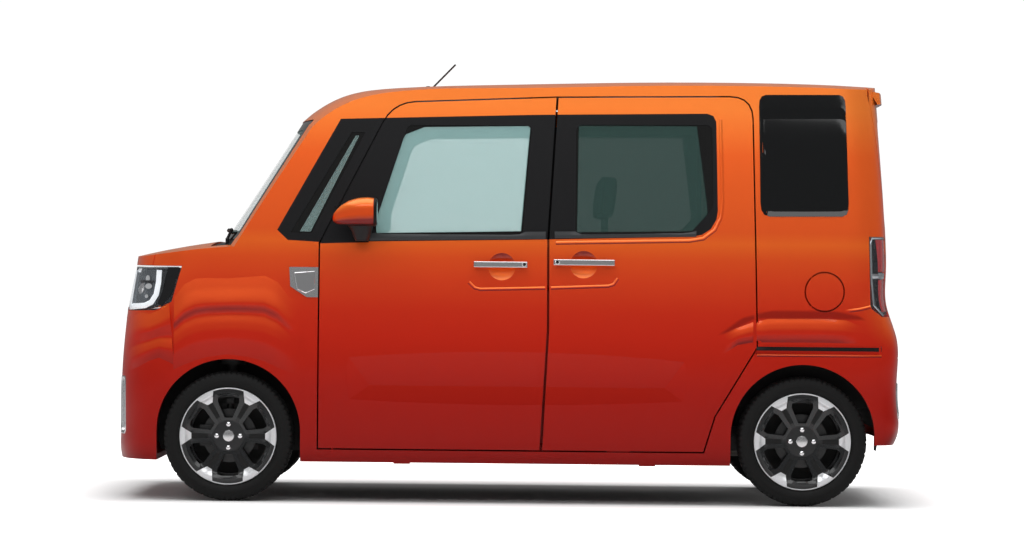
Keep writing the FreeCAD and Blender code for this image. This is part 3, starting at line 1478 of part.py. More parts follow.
def make_knuckle():
    """A left front knuckle: upright between its two pivots, stub axle, caliper and steering arm."""
    wheel = Vector(FRONT_AXLE, size.front_wheel_offset, size.tyre_radius)
    back = wheel.y - size.upright_inset
    front_face = back - size.upright_sheet
    low, high = wheel.z - size.lower_pivot_drop, wheel.z + size.upper_pivot_rise
    upright = box((wheel.x - size.upright_width / 2, front_face, low),
                  (wheel.x + size.upright_width / 2, back, high))
    stub = rod((wheel.x, back - size.upright_sheet / 2, wheel.z), (wheel.x, wheel.y + size.stub_reach, wheel.z),
               size.stub_radius)
    bosses = []
    bores = []
    for z in (low, high - size.pivot_boss_height):
        foot = Vector(wheel.x, size.pivot_offset, z)
        bosses.append(Part.makeCylinder(size.pivot_boss_radius, size.pivot_boss_height, foot))
    pin = size.pivot_bore_depth
    bores.append(Part.makeCylinder(size.pivot_pin_radius + size.pivot_fit, pin,
                                   Vector(wheel.x, size.pivot_offset, low)))
    bores.append(Part.makeCylinder(size.pivot_pin_radius + size.pivot_fit, pin,
                                   Vector(wheel.x, size.pivot_offset, high - pin)))
    arm_low = wheel.z - size.steering_arm_drop - size.steering_arm_width
    arm = box((wheel.x - size.steering_arm_reach, front_face, arm_low),
              (wheel.x, back, wheel.z - size.steering_arm_drop))
    disc_out = wheel.y - size.disc_offset
    disc_in = disc_out - size.disc_sheet
    half = size.caliper_length / 2
    caliper = box((wheel.x + size.caliper_place - size.caliper_width / 2, front_face, wheel.z - half),
                  (wheel.x + size.caliper_place + size.caliper_width / 2, disc_out + size.upright_sheet / 2 + size.caliper_clearance,
                   wheel.z + half))
    bridge = box((wheel.x, front_face, wheel.z - size.steering_arm_width),
                 (wheel.x + size.caliper_place, back, wheel.z + size.steering_arm_width))
    slot = Part.makeCylinder(size.disc_radius + size.caliper_clearance,
                             size.disc_sheet + size.caliper_clearance * 2,
                             Vector(wheel.x, disc_in - size.caliper_clearance, wheel.z), Vector(0, 1, 0))
    knuckle = upright.fuse([stub, *bosses, arm, bridge]).cut(bores)
    return largest(knuckle.fuse(caliper.cut(slot)))


def make_front_suspension():
    """The subframe, lower arms and struts, with the pins that the knuckles turn on."""
    wheel = Vector(FRONT_AXLE, size.front_wheel_offset, size.tyre_radius)
    low, high = size.subframe_bottom, size.floor_height
    front, rear = wheel.x + size.subframe_front, wheel.x - size.subframe_rear
    post_out = min(size.rail_half_gap + size.rail_width, size.house_inner_face - size.house_sheet - size.seat_gap)
    base = box((rear, -post_out, low), (front, post_out, high))
    pieces = []
    arm_top = low + size.arm_sheet
    lower = wheel.z - size.lower_pivot_drop
    upper = wheel.z + size.upper_pivot_rise
    pin = size.pivot_boss_height / 2
    for side in (LEFT, RIGHT):
        tip = side * size.pivot_offset
        root = side * size.subframe_half_width
        outline = [(wheel.x - size.arm_root_half, root), (wheel.x - size.arm_tip_half, tip),
                   (wheel.x + size.arm_tip_half, tip), (wheel.x + size.arm_root_half, root)]
        pieces.append(plan_prism(outline, low, arm_top))
        pieces.append(Part.makeCylinder(size.arm_tip_half, size.arm_sheet, Vector(wheel.x, tip, low)))
        pieces.append(rod((wheel.x, tip, low), (wheel.x, tip, lower + pin), size.pivot_pin_radius))
        inner, outer = sorted((side * size.rail_half_gap, side * post_out))
        for start in (rear, front - size.arm_tip_half * 2):
            pieces.append(box((start, inner, low), (start + size.arm_tip_half * 2, outer, size.rail_bottom)))
        strut_y = side * size.strut_offset
        bracket = upper + size.seat_gap * 4
        arm_low, arm_high = sorted((strut_y, tip + side * size.pivot_boss_radius))
        pieces.append(box((wheel.x - size.pivot_boss_radius, arm_low, bracket),
                          (wheel.x + size.pivot_boss_radius, arm_high, bracket + size.strut_arm_sheet)))
        pieces.append(rod((wheel.x, tip, upper - pin), (wheel.x, tip, bracket + size.strut_arm_sheet / 2),
                          size.pivot_pin_radius))
        pieces.append(rod((wheel.x, strut_y, bracket), (wheel.x, strut_y, size.strut_top), size.strut_radius))
        pieces.append(rod((wheel.x, strut_y, size.spring_foot), (wheel.x, strut_y, size.strut_top - size.arm_sheet),
                          size.spring_radius))
    whole = base.fuse(pieces)
    return Part.makeCompound(whole.Solids)


def make_rear_axle():
    """The rear beam with its trailing arms, springs and stub axles."""
    x = REAR_AXLE
    beam_x = x + size.beam_place
    pieces = [rod((beam_x, -size.trailing_arm_offset, size.beam_height), (beam_x, size.trailing_arm_offset, size.beam_height),
                  size.beam_radius)]
    step_rear = FLOOR_STEP - size.floor_sheet
    half = size.trailing_arm_width / 2
    deep = size.trailing_arm_depth / 2
    wheel_y = size.rear_wheel_offset
    for side in (LEFT, RIGHT):
        centre = side * size.trailing_arm_offset
        arm_top = size.beam_height + deep
        pieces.append(box((x - deep, centre - half, size.beam_height - deep), (step_rear, centre + half, arm_top)))
        pieces.append(rod((x, centre, size.tyre_radius),
                          (x, side * (wheel_y - size.upright_inset), size.tyre_radius), deep))
        pieces.append(rod((x, side * (wheel_y - size.upright_inset - size.axle_flange_sheet), size.tyre_radius),
                          (x, side * (wheel_y - size.upright_inset), size.tyre_radius), size.axle_flange_radius))
        pieces.append(rod((x, centre, size.tyre_radius), (x, side * (wheel_y + size.stub_reach), size.tyre_radius),
                          size.stub_radius))
        spring_y = side * (size.trailing_arm_offset - size.spring_radius)
        pieces.append(rod((beam_x, spring_y, size.beam_height), (beam_x, spring_y, size.rear_floor_height),
                          size.rear_spring_radius))
    return largest(pieces[0].fuse(pieces[1:]))


def make_engine():
    """The engine and gearbox, one plain block on the subframe."""
    rear = size.firewall_place + size.firewall_sheet + size.engine_gap
    return box((rear, -size.engine_width / 2, size.floor_height),
               (rear + size.engine_length, size.engine_width / 2, size.floor_height + size.engine_height))


def make_tank():
    """The fuel tank under the front seats."""
    start = -size.tank_place
    return rounded(box((start - size.tank_length, -size.tank_width / 2, size.floor_height - size.tank_height),
                       (start, size.tank_width / 2, size.floor_height)), Vector(0, 0, 1), size.seat_round)


def make_exhaust():
    """The exhaust: a pipe under the floor, a silencer behind the axle and the tail pipe."""
    y, z = -size.pipe_offset, size.pipe_height
    start = size.pipe_start
    box_front = REAR_AXLE - size.axle_flange_radius * 2
    muffler_z = size.rear_floor_height - size.muffler_radius
    turn = REAR_AXLE + size.beam_place - size.beam_radius - size.pipe_radius - size.caliper_clearance
    pipe = rod((start, y, z), (turn, y, z), size.pipe_radius)
    rise = rod((turn, y, z), (box_front, -size.pipe_offset / 2, muffler_z), size.pipe_radius)
    knee = Part.makeSphere(size.pipe_radius + size.seat_gap, Vector(turn, y, z))
    muffler = rod((box_front, -size.pipe_offset / 2, muffler_z),
                  (box_front - size.muffler_length, -size.pipe_offset / 2, muffler_z), size.muffler_radius)
    hanger = box((start - size.arm_sheet, y - size.arm_sheet, z),
                 (start, y + size.arm_sheet, size.floor_height))
    return largest(pipe.fuse([rise, knee, muffler, hanger]))


def outside_cut(solid):
    """A fitting trimmed to sit just off the car's skin."""
    return solid.cut(form(-size.seat_gap))


def make_mirror():
    """The left door mirror: housing and foot."""
    foot_y = side_face(size.mirror_rear, size.mirror_bottom)
    inner = foot_y + size.mirror_foot
    housing = box((size.mirror_rear, inner, size.mirror_bottom),
                  (size.mirror_front, inner + size.mirror_reach, size.mirror_top))
    housing = housing.makeFillet(size.mirror_round, housing.Edges)
    middle = (size.mirror_front + size.mirror_rear) / 2
    foot = box((middle - size.mirror_foot, foot_y - size.wall, size.mirror_bottom - size.mirror_round),
               (middle + size.mirror_foot, inner + size.mirror_round * 2, size.mirror_bottom + size.mirror_round))
    window = across_half(side_outline(FRONT_WINDOW_SHARES))
    return largest(outside_cut(housing.fuse(foot)).cut(window.common(form(0))))


def make_handle(rear, front, line):
    """A pull handle on two feet."""
    half = side_face((rear + front) / 2, line)
    reach, tall = size.handle_reach, size.handle_height
    bar = box((rear, half + reach - size.handle_bar, line - tall / 2), (front, half + reach, line + tall / 2))
    bar = bar.makeFillet(size.handle_bar / 3, bar.Edges)
    foot_face = half + reach - size.handle_bar / 2
    feet = [box((end - tall / 2, half - size.skin, line - tall / 3), (end + tall / 2, foot_face, line + tall / 3))
            for end in (rear + tall, front - tall)]
    return largest(outside_cut(bar.fuse(feet)))


def make_garnishes():
    """The bare trim plates on the front wings, ahead of the doors."""
    outline = [(max(x, FENDER_REAR), z) for x, z in side_outline(GARNISH_SHARES)]
    return pair(largest(wall_in(across_half(outline), -size.garnish_depth, -size.seat_gap)))


def make_wipers():
    """The two wipers, parked along the foot of the windscreen."""
    arms = []
    for pivot in (-size.wiper_near_pivot, size.wiper_far_pivot):
        points = []
        for step in range(4):
            y = pivot - step * size.wiper_length / 3
            height = screen[0][1] + size.wiper_rise
            points.append(Vector(screen_face(y, height) + size.wiper_stand_off, y, height))
        elbow = Vector(points[0].x + size.wiper_foot_reach, abs(pivot), screen[0][1])
        foot = rod(elbow - Vector(0, 0, size.wall), elbow, size.wiper_joint_radius)
        foot = foot.cut(form(size.fender_sheet))
        if pivot < 0:
            foot = mirrored(foot)
        arms += foot.Solids
        stretch = [Vector(elbow.x, pivot, elbow.z), *points]
        for start, end in zip(stretch, stretch[1:]):
            arms.append(rod(start, end, size.wiper_radius))
            arms.append(Part.makeSphere(size.wiper_joint_radius, start))
    return joined(arms[0], *arms[1:])


def screen_face(lateral, height):
    """The place along the car of the outer form's screen at a point."""
    line = Part.makeLine(Vector(0, abs(lateral), height), Vector(HALF_LENGTH, abs(lateral), height))
    return line.common(form(0)).BoundBox.XMax


def make_aerial():
    """The rod aerial, raked back from the front of the roof."""
    top = top_height(size.aerial_base, 0)
    base = Vector(size.aerial_base, 0, top - size.aerial_foot_height)
    tip = Vector(size.aerial_base - size.aerial_rake, 0, top + size.aerial_rise)
    foot = Part.makeCone(size.aerial_foot_radius, size.aerial_radius * 2, size.aerial_foot_height * 2, base)
    stem = Part.makeCylinder(size.aerial_radius, (tip - base).Length, base, tip - base)
    return largest(foot.fuse(stem).cut(both_sides(form(-size.seat_gap))))


def make_fuel_lid():
    """The round fuel lid on the left rear wing, turning on a pin near its front edge."""
    lid = skin(0, size.fender_sheet).common(
        Part.makeCylinder(size.fuel_lid_radius, FAR, lid_centre, Vector(0, 1, 0)))
    return largest(lid.cut(lid_pin(size.pin_fit, size.overrun)))


frame_left, frame_right = make_side_frame()
door = make_front_door()
slider = make_rear_door()
add_shape("floor_pan", make_floor())
add_shape("side_frame_left", frame_left)
add_shape("side_frame_right", frame_right)
add_shape("roof_panel", make_roof())
wing = make_fender()
add_shape("fender_left", wing)
add_shape("fender_right", mirrored(wing))
add_shape("cowl_panel", make_cowl())
add_shape("front_bumper", make_front_bumper())
add_shape("rear_bumper", make_rear_bumper())
add_shape("grille", make_grille())
add_shape("headlamps", make_head_lamps())
add_shape("tail_lamps", make_tail_lamps())
add_shape("bumper_lamps", make_bumper_lamps())
add_shape("wing_garnishes", make_garnishes())
add_shape("licence_plates", make_plates())
add_shape("windscreen", both_sides(wall_in(screen_space, size.glass_inset, GLASS_DEPTH)))
add_shape("quarter_glass_front", pair(window_glass(CORNER_WINDOW_SHARES, 0)))
add_shape("quarter_glass_rear", pair(window_glass(QUARTER_WINDOW_SHARES, size.window_corner)))
add_shape("rear_door_left", slider)
add_shape("rear_door_right", mirrored(slider))
add_shape("rear_door_glass", pair(window_glass(REAR_WINDOW_SHARES, size.window_corner)))
rear_pull = make_handle(-size.rear_handle_rear, -size.rear_handle_front, size.rear_handle_line)
add_shape("rear_door_handles", pair(rear_pull))
add_shape("dashboard", make_dashboard())
add_shape("front_seats", make_front_seats())
add_shape("rear_seat", make_rear_seat())
add_shape("wipers", make_wipers())
add_shape("aerial", make_aerial())
add_shape("engine_block", make_engine())
add_shape("front_suspension", make_front_suspension())
add_shape("rear_axle", make_rear_axle())
add_shape("fuel_tank", make_tank())
add_shape("exhaust", make_exhaust())
add_shape("bonnet", make_bonnet())
add_shape("tailgate", make_tail_gate())
tail_glass_zone = end_prism(end_outline(TAIL_WINDOW_SHARES), -HALF_LENGTH - size.overrun, TAIL_ZONE,
                            size.window_corner * 2)
add_shape("tailgate_glass", both_sides(wall_in(tail_glass_zone, size.glass_inset, GLASS_DEPTH)))
front_glass = window_glass(FRONT_WINDOW_SHARES, size.window_corner)
mirror = make_mirror()
pull = make_handle(-size.front_handle_rear, size.front_handle_front, size.handle_line)
knuckle = make_knuckle()
for name, turn in (("left", lambda solid: solid), ("right", mirrored)):
    add_shape(f"front_door_{name}", turn(door))
    add_shape(f"front_door_glass_{name}", turn(front_glass))
    add_shape(f"mirror_{name}", turn(mirror))
    add_shape(f"front_door_handle_{name}", turn(pull))
    add_shape(f"knuckle_{name}", turn(knuckle))
add_shape("fuel_lid", make_fuel_lid())
add_shape("steering_wheel", make_steering_wheel())
for wheel_name, place, across, side in wheel_places():
    make_tyre(wheel_name, place, across, side)
    make_rim(wheel_name, place, across, side)
doc.recompute()

faults = []
for item in doc.Objects:
    if "Invalid" in item.State or "Error" in item.State:
        faults.append(f"{item.Name}: {item.State}")
for item in NODES:
    if item.Shape.isNull() or not item.Shape.isValid() or item.Shape.Volume <= 0:
        faults.append(f"{item.Label}: shape")
if faults:
    raise RuntimeError("; ".join(faults))
os.makedirs("parts", exist_ok=True)
for item in NODES:
    item.Shape.exportStep(f"parts/{item.Label}.step")
    print(item.Label, len(item.Shape.Solids), round(item.Shape.Volume))
print("axes: door", door_axis(), "bonnet", bonnet_axis(), "tailgate", tail_gate_axis(), "lid", lid_axis())
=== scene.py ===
# %% [markdown]
# This lesson dresses a small five-door car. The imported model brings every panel, door and wheel
# in its real place; the script gives them paint, glass, rubber and light, and adds the fine
# pieces that the panels carry. All lengths are metres, X points forward and Y to the car's left.

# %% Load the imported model
import json
import math
import bpy
import bmesh
from mathutils import Matrix, Vector
from mathutils.bvhtree import BVHTree

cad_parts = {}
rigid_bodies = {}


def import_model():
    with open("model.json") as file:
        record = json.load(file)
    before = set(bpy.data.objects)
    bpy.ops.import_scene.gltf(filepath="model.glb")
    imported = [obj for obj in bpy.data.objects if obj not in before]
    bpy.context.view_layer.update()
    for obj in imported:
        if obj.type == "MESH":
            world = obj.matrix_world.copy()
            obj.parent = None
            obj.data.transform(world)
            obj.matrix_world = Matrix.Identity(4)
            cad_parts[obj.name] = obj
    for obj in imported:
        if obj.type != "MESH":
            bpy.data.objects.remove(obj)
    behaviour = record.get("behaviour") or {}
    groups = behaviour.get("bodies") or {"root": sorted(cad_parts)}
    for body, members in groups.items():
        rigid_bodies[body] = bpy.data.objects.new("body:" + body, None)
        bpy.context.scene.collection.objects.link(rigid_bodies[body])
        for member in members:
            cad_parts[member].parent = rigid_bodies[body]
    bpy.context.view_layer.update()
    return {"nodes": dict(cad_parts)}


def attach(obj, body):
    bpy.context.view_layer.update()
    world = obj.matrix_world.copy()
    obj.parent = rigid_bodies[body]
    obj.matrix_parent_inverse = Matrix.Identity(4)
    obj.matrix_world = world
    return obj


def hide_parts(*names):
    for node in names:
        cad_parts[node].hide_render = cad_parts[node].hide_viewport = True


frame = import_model()
nodes = frame["nodes"]

# %% [markdown]
# The photograph was taken from far away with a long lens, square to the car's left side. A lens
# of 124 mm on a 36 mm film sees as little as that. The picture leans by about half a degree, so
# the camera leans too.

# %% Camera
LEAN = math.radians(0.588)
FILM_WIDTH = 36
FOCAL_LENGTH = 123.6
LONGEST_VIEW = 200
CAMERA_PLACE = (-0.014, 15.7375, 0.966)

camera = bpy.data.cameras.new("side view")
camera.lens = FOCAL_LENGTH
camera.sensor_width = FILM_WIDTH
camera.clip_end = LONGEST_VIEW
camera_rig = bpy.data.objects.new("side view", camera)
camera_rig.matrix_world = Matrix((
    (-math.cos(LEAN), math.sin(LEAN), 0, CAMERA_PLACE[0]),
    (0, 0, 1, CAMERA_PLACE[1]),
    (math.sin(LEAN), math.cos(LEAN), 0, CAMERA_PLACE[2]),
    (0, 0, 0, 1),
))
bpy.context.scene.collection.objects.link(camera_rig)
bpy.context.scene.camera = camera_rig
bpy.context.scene.view_settings.view_transform = "Standard"
print("camera stands at", [round(value, 3) for value in camera_rig.location])

# %% [markdown]
# Shader sums are easier to read as arithmetic. A Wire holds one output of a node, and adding or
# multiplying Wires adds the Math nodes that do it.

# %% Shader arithmetic
class Wire:
    """One output inside a material, on which sums can be written."""

    def __init__(self, finish, socket):
        self.finish = finish
        self.socket = socket

    def math(self, operation, *others):
        inputs = {0: self, **{index + 1: other for index, other in enumerate(others)}}
        made = self.finish.node("Math", {"operation": operation}, inputs)
        return Wire(self.finish, made.outputs[0])

    def __add__(self, other):
        return self.math("ADD", other)

    def __sub__(self, other):
        return self.math("SUBTRACT", other)

    def __mul__(self, other):
        return self.math("MULTIPLY", other)

    def __truediv__(self, other):
        return self.math("DIVIDE", other)

    def __rsub__(self, other):
        return (self * -1) + other

    __radd__ = __add__
    __rmul__ = __mul__

    def above(self, level, blend=0.001):
        """1 above a level and 0 below it, with a short blend."""
        return ((self - level) / blend + 0.5).kept_between(0.0, 1.0)

    def kept_between(self, low, high):
        """The same value, but never under low or over high."""
        return self.math("MAXIMUM", low).math("MINIMUM", high)


print("sums on shader values are ready")

# %% [markdown]
# A Finish is one material. What is the same all over the surface is a constant set on the shader
# itself, and only what changes over the surface comes in through nodes. One method adds any kind
# of node, so that a new effect needs no new helper.

# %% One finish
class Finish:
    """One material: a shader with its constants, and any node by its type."""

    def __init__(self, name, **constants):
        self.material = bpy.data.materials.new(name)
        self.material.use_nodes = True
        self.tree = self.material.node_tree
        self.shader = self.tree.nodes["Principled BSDF"]
        for key, value in constants.items():
            socket = self.shader.inputs[key.replace("_", " ")]
            socket.default_value = (*value, 1.0) if isinstance(value, tuple) else value

    def node(self, kind, settings=None, inputs=None):
        """A node by its type, with its settings first and then what goes into its sockets."""
        made = self.tree.nodes.new("ShaderNode" + kind)
        for key, value in (settings or {}).items():
            if key == "stops":
                for index, (place, colour) in enumerate(value):
                    stops = made.color_ramp.elements
                    stop = stops[index] if index < len(stops) else stops.new(place)
                    stop.position = place
                    stop.color = (*colour, 1.0)
            else:
                setattr(made, key, value)
        for key, value in (inputs or {}).items():
            self.feed(made.inputs[key], value)
        return made

    def feed(self, socket, value):
        """Gives a socket a link, a colour or a number."""
        if isinstance(value, Wire):
            self.tree.links.new(value.socket, socket)
        elif isinstance(value, tuple) and len(value) == 3 and socket.type == "RGBA":
            socket.default_value = (*value, 1.0)
        else:
            socket.default_value = value

    def drive(self, name, value):
        """Feeds a socket of the shader by its name."""
        self.feed(self.shader.inputs[name], value)

    def place(self):
        """The three coordinates of a point on the car, in metres."""
        spot = self.node("TexCoord")
        split = self.node("SeparateXYZ", inputs={0: Wire(self, spot.outputs["Object"])})
        return [Wire(self, output) for output in split.outputs]

    def mix(self, factor, first, second):
        """The first colour where the factor is 0 and the second where it is 1."""
        made = self.node("Mix", {"data_type": "RGBA"}, {0: factor, 6: first, 7: second})
        return Wire(self, made.outputs[2])

    def inside(self, outline, across, up, blend=0.0015):
        """1 inside a convex outline, whose corners run anticlockwise, and 0 outside."""
        mask = None
        for (ax, az), (bx, bz) in zip(outline, outline[1:] + outline[:1]):
            length = math.hypot(bx - ax, bz - az)
            nx, nz = -(bz - az) / length, (bx - ax) / length
            side = (across * nx + up * nz).above(nx * ax + nz * az, blend)
            mask = side if mask is None else mask * side
        return mask


def anticlockwise(outline):
    """The same outline with its corners running anticlockwise."""
    area = sum(ax * bz - bx * az for (ax, az), (bx, bz) in zip(outline, outline[1:] + outline[:1]))
    return outline if area > 0 else outline[::-1]


print("finishes can be made")

# %% [markdown]
# The door frames and the pillars between the side windows are black, on the same pressed panels
# that are orange below. They could be separate pieces, but on the real car this is film and paint
# on the panel, so outlines seen from the side say where the black lies. The windows have outlines
# too: glass has a black printed border, and only its middle is clear.

# %% Where the black window band and the clear glass run
quarter_dark = anticlockwise([(0.928, 1.102), (0.992, 1.162), (0.727, 1.642), (0.53, 1.648),
                              (0.60, 1.112)])
door_dark = anticlockwise([(0.80, 1.112), (0.80, 1.16), (0.53, 1.648), (-0.12, 1.668), (-0.30, 1.671),
                           (-0.845, 1.680), (-0.872, 1.670), (-0.884, 1.645), (-0.892, 1.262),
                           (-0.886, 1.225), (-0.862, 1.184), (-0.825, 1.159), (-0.78, 1.150),
                           (-0.16, 1.132)])
mirror_dark = anticlockwise([(0.50, 1.10), (0.80, 1.10), (0.80, 1.188), (0.50, 1.188)])
mirror_edge = anticlockwise([(0.50, 1.10), (0.574, 1.10), (0.574, 1.32), (0.50, 1.32)])
front_clear = anticlockwise([(0.567, 1.153), (0.576, 1.320), (0.448, 1.576), (0.368, 1.609),
                             (-0.086, 1.618), (-0.050, 1.167)])
rear_clear = anticlockwise([(-0.290, 1.165), (-0.846, 1.175), (-0.846, 1.28), (-0.800, 1.625),
                            (-0.295, 1.622)])
quarter_clear = anticlockwise([(0.850, 1.157), (0.893, 1.157), (0.662, 1.569), (0.649, 1.569)])
screen_clear = anticlockwise([(-0.60, 1.155), (0.60, 1.155), (0.50, 1.600), (-0.50, 1.600)])
tail_clear = anticlockwise([(-0.52, 1.235), (0.52, 1.235), (0.485, 1.630), (-0.485, 1.630)])
print("dark outlines:", 4, "clear outlines:", 5)

# %% [markdown]
# The car's paint is a metallic orange under clear lacquer. A plain metal would only mirror the studio, so
# light and shade are painted into the colour itself. It is darker low on the car and brighter high on it as
# painted shade and painted reflection, with a painted highlight band just under the belt. It has a painted
# highlight where the surface faces up and painted shade where it faces down. It also has painted shade in the
# hollow above the rear wheel and just ahead of it. A thin coat on top gives the gloss.

# %% The paint
# The paint's own orange, made darker low on the car as painted shade and brighter high on it as painted
# reflection, with a painted highlight band just under the belt.
PAINT_LEVELS_WITH_PAINTED_LIGHT = [(0.20, (0.34, 0.008, 0.005)), (0.50, (0.47, 0.012, 0.005)), (0.72, (0.66, 0.022, 0.006)),
                (0.95, (0.78, 0.040, 0.008)), (1.05, (0.84, 0.070, 0.009)), (1.12, (0.92, 0.130, 0.012)),
                (1.17, (0.86, 0.085, 0.010)), (1.50, (0.90, 0.105, 0.011)), (1.70, (0.95, 0.220, 0.030))]
PAINT_SPAN = 2.0
# Painted highlight on surfaces that face up, painted shade on those that face down and in the hollows.
PAINTED_HIGHLIGHT = (0.96, 0.22, 0.028)
PAINTED_SHADE = (0.20, 0.005, 0.004)
TURN_START = 0.03
PAINTED_HIGHLIGHT_GAIN, PAINTED_SHADE_GAIN = 1.9, 3.2
UP_FROM_HEIGHT, UP_HEIGHT_BLEND = 0.65, 0.5
PAINTED_SHADE_BLEND, PAINTED_SHADE_STRENGTH = 0.012, 0.62
GLOSS_START, GLOSS_RISE = 0.45, 0.7
GLOSS_LOW, GLOSS_HIGH = 0.12, 0.6
FLAKE_METAL, FLAKE_ROUGHNESS = 0.35, 0.32
BLACK = (0.010, 0.010, 0.011)
BLACK_EXTRA_ROUGHNESS, BLACK_COAT_LOSS = 0.12, 0.9
# Painted shade in the hollow above the rear wheel and in the one just ahead of it.
WING_PAINTED_SHADE = anticlockwise([(-1.060, 0.803), (-1.060, 0.822), (-1.120, 0.838), (-1.400, 0.838),
                             (-1.500, 0.818), (-1.520, 0.803)])
DOOR_PAINTED_SHADE = anticlockwise([(-0.905, 0.735), (-0.925, 0.738), (-1.052, 0.800), (-1.052, 0.818),
                             (-1.000, 0.806)])


def paint(name, *darks):
    """Orange metallic lacquer with painted highlights and painted shade, satin black inside the outlines
    given.
    """
    finish = Finish(name, Coat_Roughness=0.03, Specular_IOR_Level=0.12)
    x, y, z = finish.place()
    stops = [(level / PAINT_SPAN, colour) for level, colour in PAINT_LEVELS_WITH_PAINTED_LIGHT]
    ramp = finish.node("ValToRGB", {"stops": stops}, {0: z / PAINT_SPAN})
    facing = finish.node("NewGeometry")
    split = finish.node("SeparateXYZ", inputs={0: Wire(finish, facing.outputs["Normal"])})
    rise = Wire(finish, split.outputs[2])
    # Painted highlight where the surface faces up, painted shade where it faces down and in the two hollows.
    painted_highlight_share = ((rise - TURN_START) * PAINTED_HIGHLIGHT_GAIN).kept_between(0.0, 1.0)
    painted_highlight_share = painted_highlight_share * z.above(UP_FROM_HEIGHT, UP_HEIGHT_BLEND)
    painted_shade_share = ((rise * -1 - TURN_START) * PAINTED_SHADE_GAIN).kept_between(0.0, 1.0)
    colour = finish.mix(painted_highlight_share, Wire(finish, ramp.outputs[0]), PAINTED_HIGHLIGHT)
    wing_painted_shade = finish.inside(WING_PAINTED_SHADE, x, z, PAINTED_SHADE_BLEND)
    hollow = wing_painted_shade.math("MAXIMUM", finish.inside(DOOR_PAINTED_SHADE, x, z, PAINTED_SHADE_BLEND))
    colour = finish.mix(painted_shade_share.math("MAXIMUM", hollow * PAINTED_SHADE_STRENGTH), colour, PAINTED_SHADE)
    gloss = ((z - GLOSS_START) * GLOSS_RISE + GLOSS_LOW).kept_between(GLOSS_LOW, GLOSS_HIGH)
    if darks:
        mask = finish.inside(darks[0], x, z)
        for dark in darks[1:]:
            mask = mask.math("MAXIMUM", finish.inside(dark, x, z))
        finish.drive("Base Color", finish.mix(mask, colour, BLACK))
        finish.drive("Metallic", (1 - mask) * FLAKE_METAL)
        finish.drive("Roughness", mask * BLACK_EXTRA_ROUGHNESS + FLAKE_ROUGHNESS)
        finish.drive("Coat Weight", gloss * (1 - mask * BLACK_COAT_LOSS))
    else:
        finish.drive("Base Color", colour)
        finish.drive("Coat Weight", gloss)
        finish.drive("Metallic", FLAKE_METAL)
        finish.drive("Roughness", FLAKE_ROUGHNESS)
    return finish.material


body_paint_and_painted_light = paint("orange lacquer with painted light")
door_paint_and_painted_light = paint("orange lacquer with painted light with black frames", door_dark, quarter_dark)
mirror_paint_and_painted_light = paint("orange lacquer with painted light with black foot", mirror_dark, mirror_edge)
print("paint is ready")

# %% [markdown]
# Rubber, plastics, plating and bare metal are each one colour and one gloss all over. Image
# textures could add wear, but the car is new and clean, so constants are enough.

# %% Rubber, plastics and metals
def plain(name, colour, roughness, metallic=0.0, **constants):
    """A finish that is the same all over."""
    return Finish(name, Base_Color=colour, Roughness=roughness, Metallic=metallic, **constants).material


black_gloss = plain("black gloss plastic", (0.008, 0.008, 0.009), 0.12)
black_satin = plain("black satin trim", (0.012, 0.012, 0.013), 0.45, Specular_IOR_Level=0.3)
dark_grain = plain("dark grained plastic", (0.035, 0.035, 0.037), 0.6)
bright_trim = plain("bright satin plating", (0.72, 0.72, 0.73), 0.22, 1.0)
mirror_bright = plain("mirror plating", (0.9, 0.9, 0.92), 0.04, 1.0)
machined = plain("machined alloy", (0.86, 0.87, 0.89), 0.38, 0.75)
wheel_black = plain("black wheel lacquer", (0.006, 0.006, 0.007), 0.3, 0.0, Coat_Weight=0.3)
tyre_black = plain("tyre rubber", (0.005, 0.005, 0.005), 0.7, Specular_IOR_Level=0.25)
underbody = plain("underbody coating", (0.02, 0.02, 0.02), 0.8)
chassis = plain("chassis paint", (0.025, 0.025, 0.026), 0.5)
cast_metal = plain("cast metal", (0.20, 0.20, 0.205), 0.55, 0.8)
pipe_metal = plain("exhaust steel", (0.30, 0.28, 0.26), 0.45, 0.9)
plate_white = plain("plate enamel", (0.82, 0.82, 0.80), 0.35)
lamp_red = plain("red lamp plastic", (0.42, 0.008, 0.010), 0.12, Coat_Weight=1.0)
lamp_white = plain("white light guide", (0.9, 0.93, 0.96), 0.2, Emission_Color=(0.9, 0.95, 1.0),
                   Emission_Strength=0.25)
print("plain finishes are ready")

# %% [markdown]
# Window glass could be a refracting solid, which is slow and dark in a thin panel. Here it is a
# tinted sheet: its alpha says how much of the view comes through, and its low roughness keeps the
# reflections. The rear windows are darkened, and a black border is printed round most panes.

# %% Glass
GLASS_ROUGHNESS = 0.02
GLASS_IOR = 1.5
BORDER_BLACK = (0.006, 0.006, 0.006)
BORDER_BLEND = 0.003


def pane(name, tint, alpha):
    """A thin sheet of tinted glass: it lets the view through and keeps its gloss."""
    return plain(name, tint, GLASS_ROUGHNESS, Alpha=alpha, IOR=GLASS_IOR)


def bordered(name, tint, alpha, clear, ends=False):
    """Glass with a black border printed round the outline that stays clear."""
    finish = Finish(name, Roughness=GLASS_ROUGHNESS, IOR=GLASS_IOR)
    x, y, z = finish.place()
    mask = finish.inside(clear, y if ends else x, z, BORDER_BLEND)
    finish.drive("Base Color", finish.mix(mask, BORDER_BLACK, tint))
    finish.drive("Alpha", 1 - mask * (1 - alpha))
    return finish.material


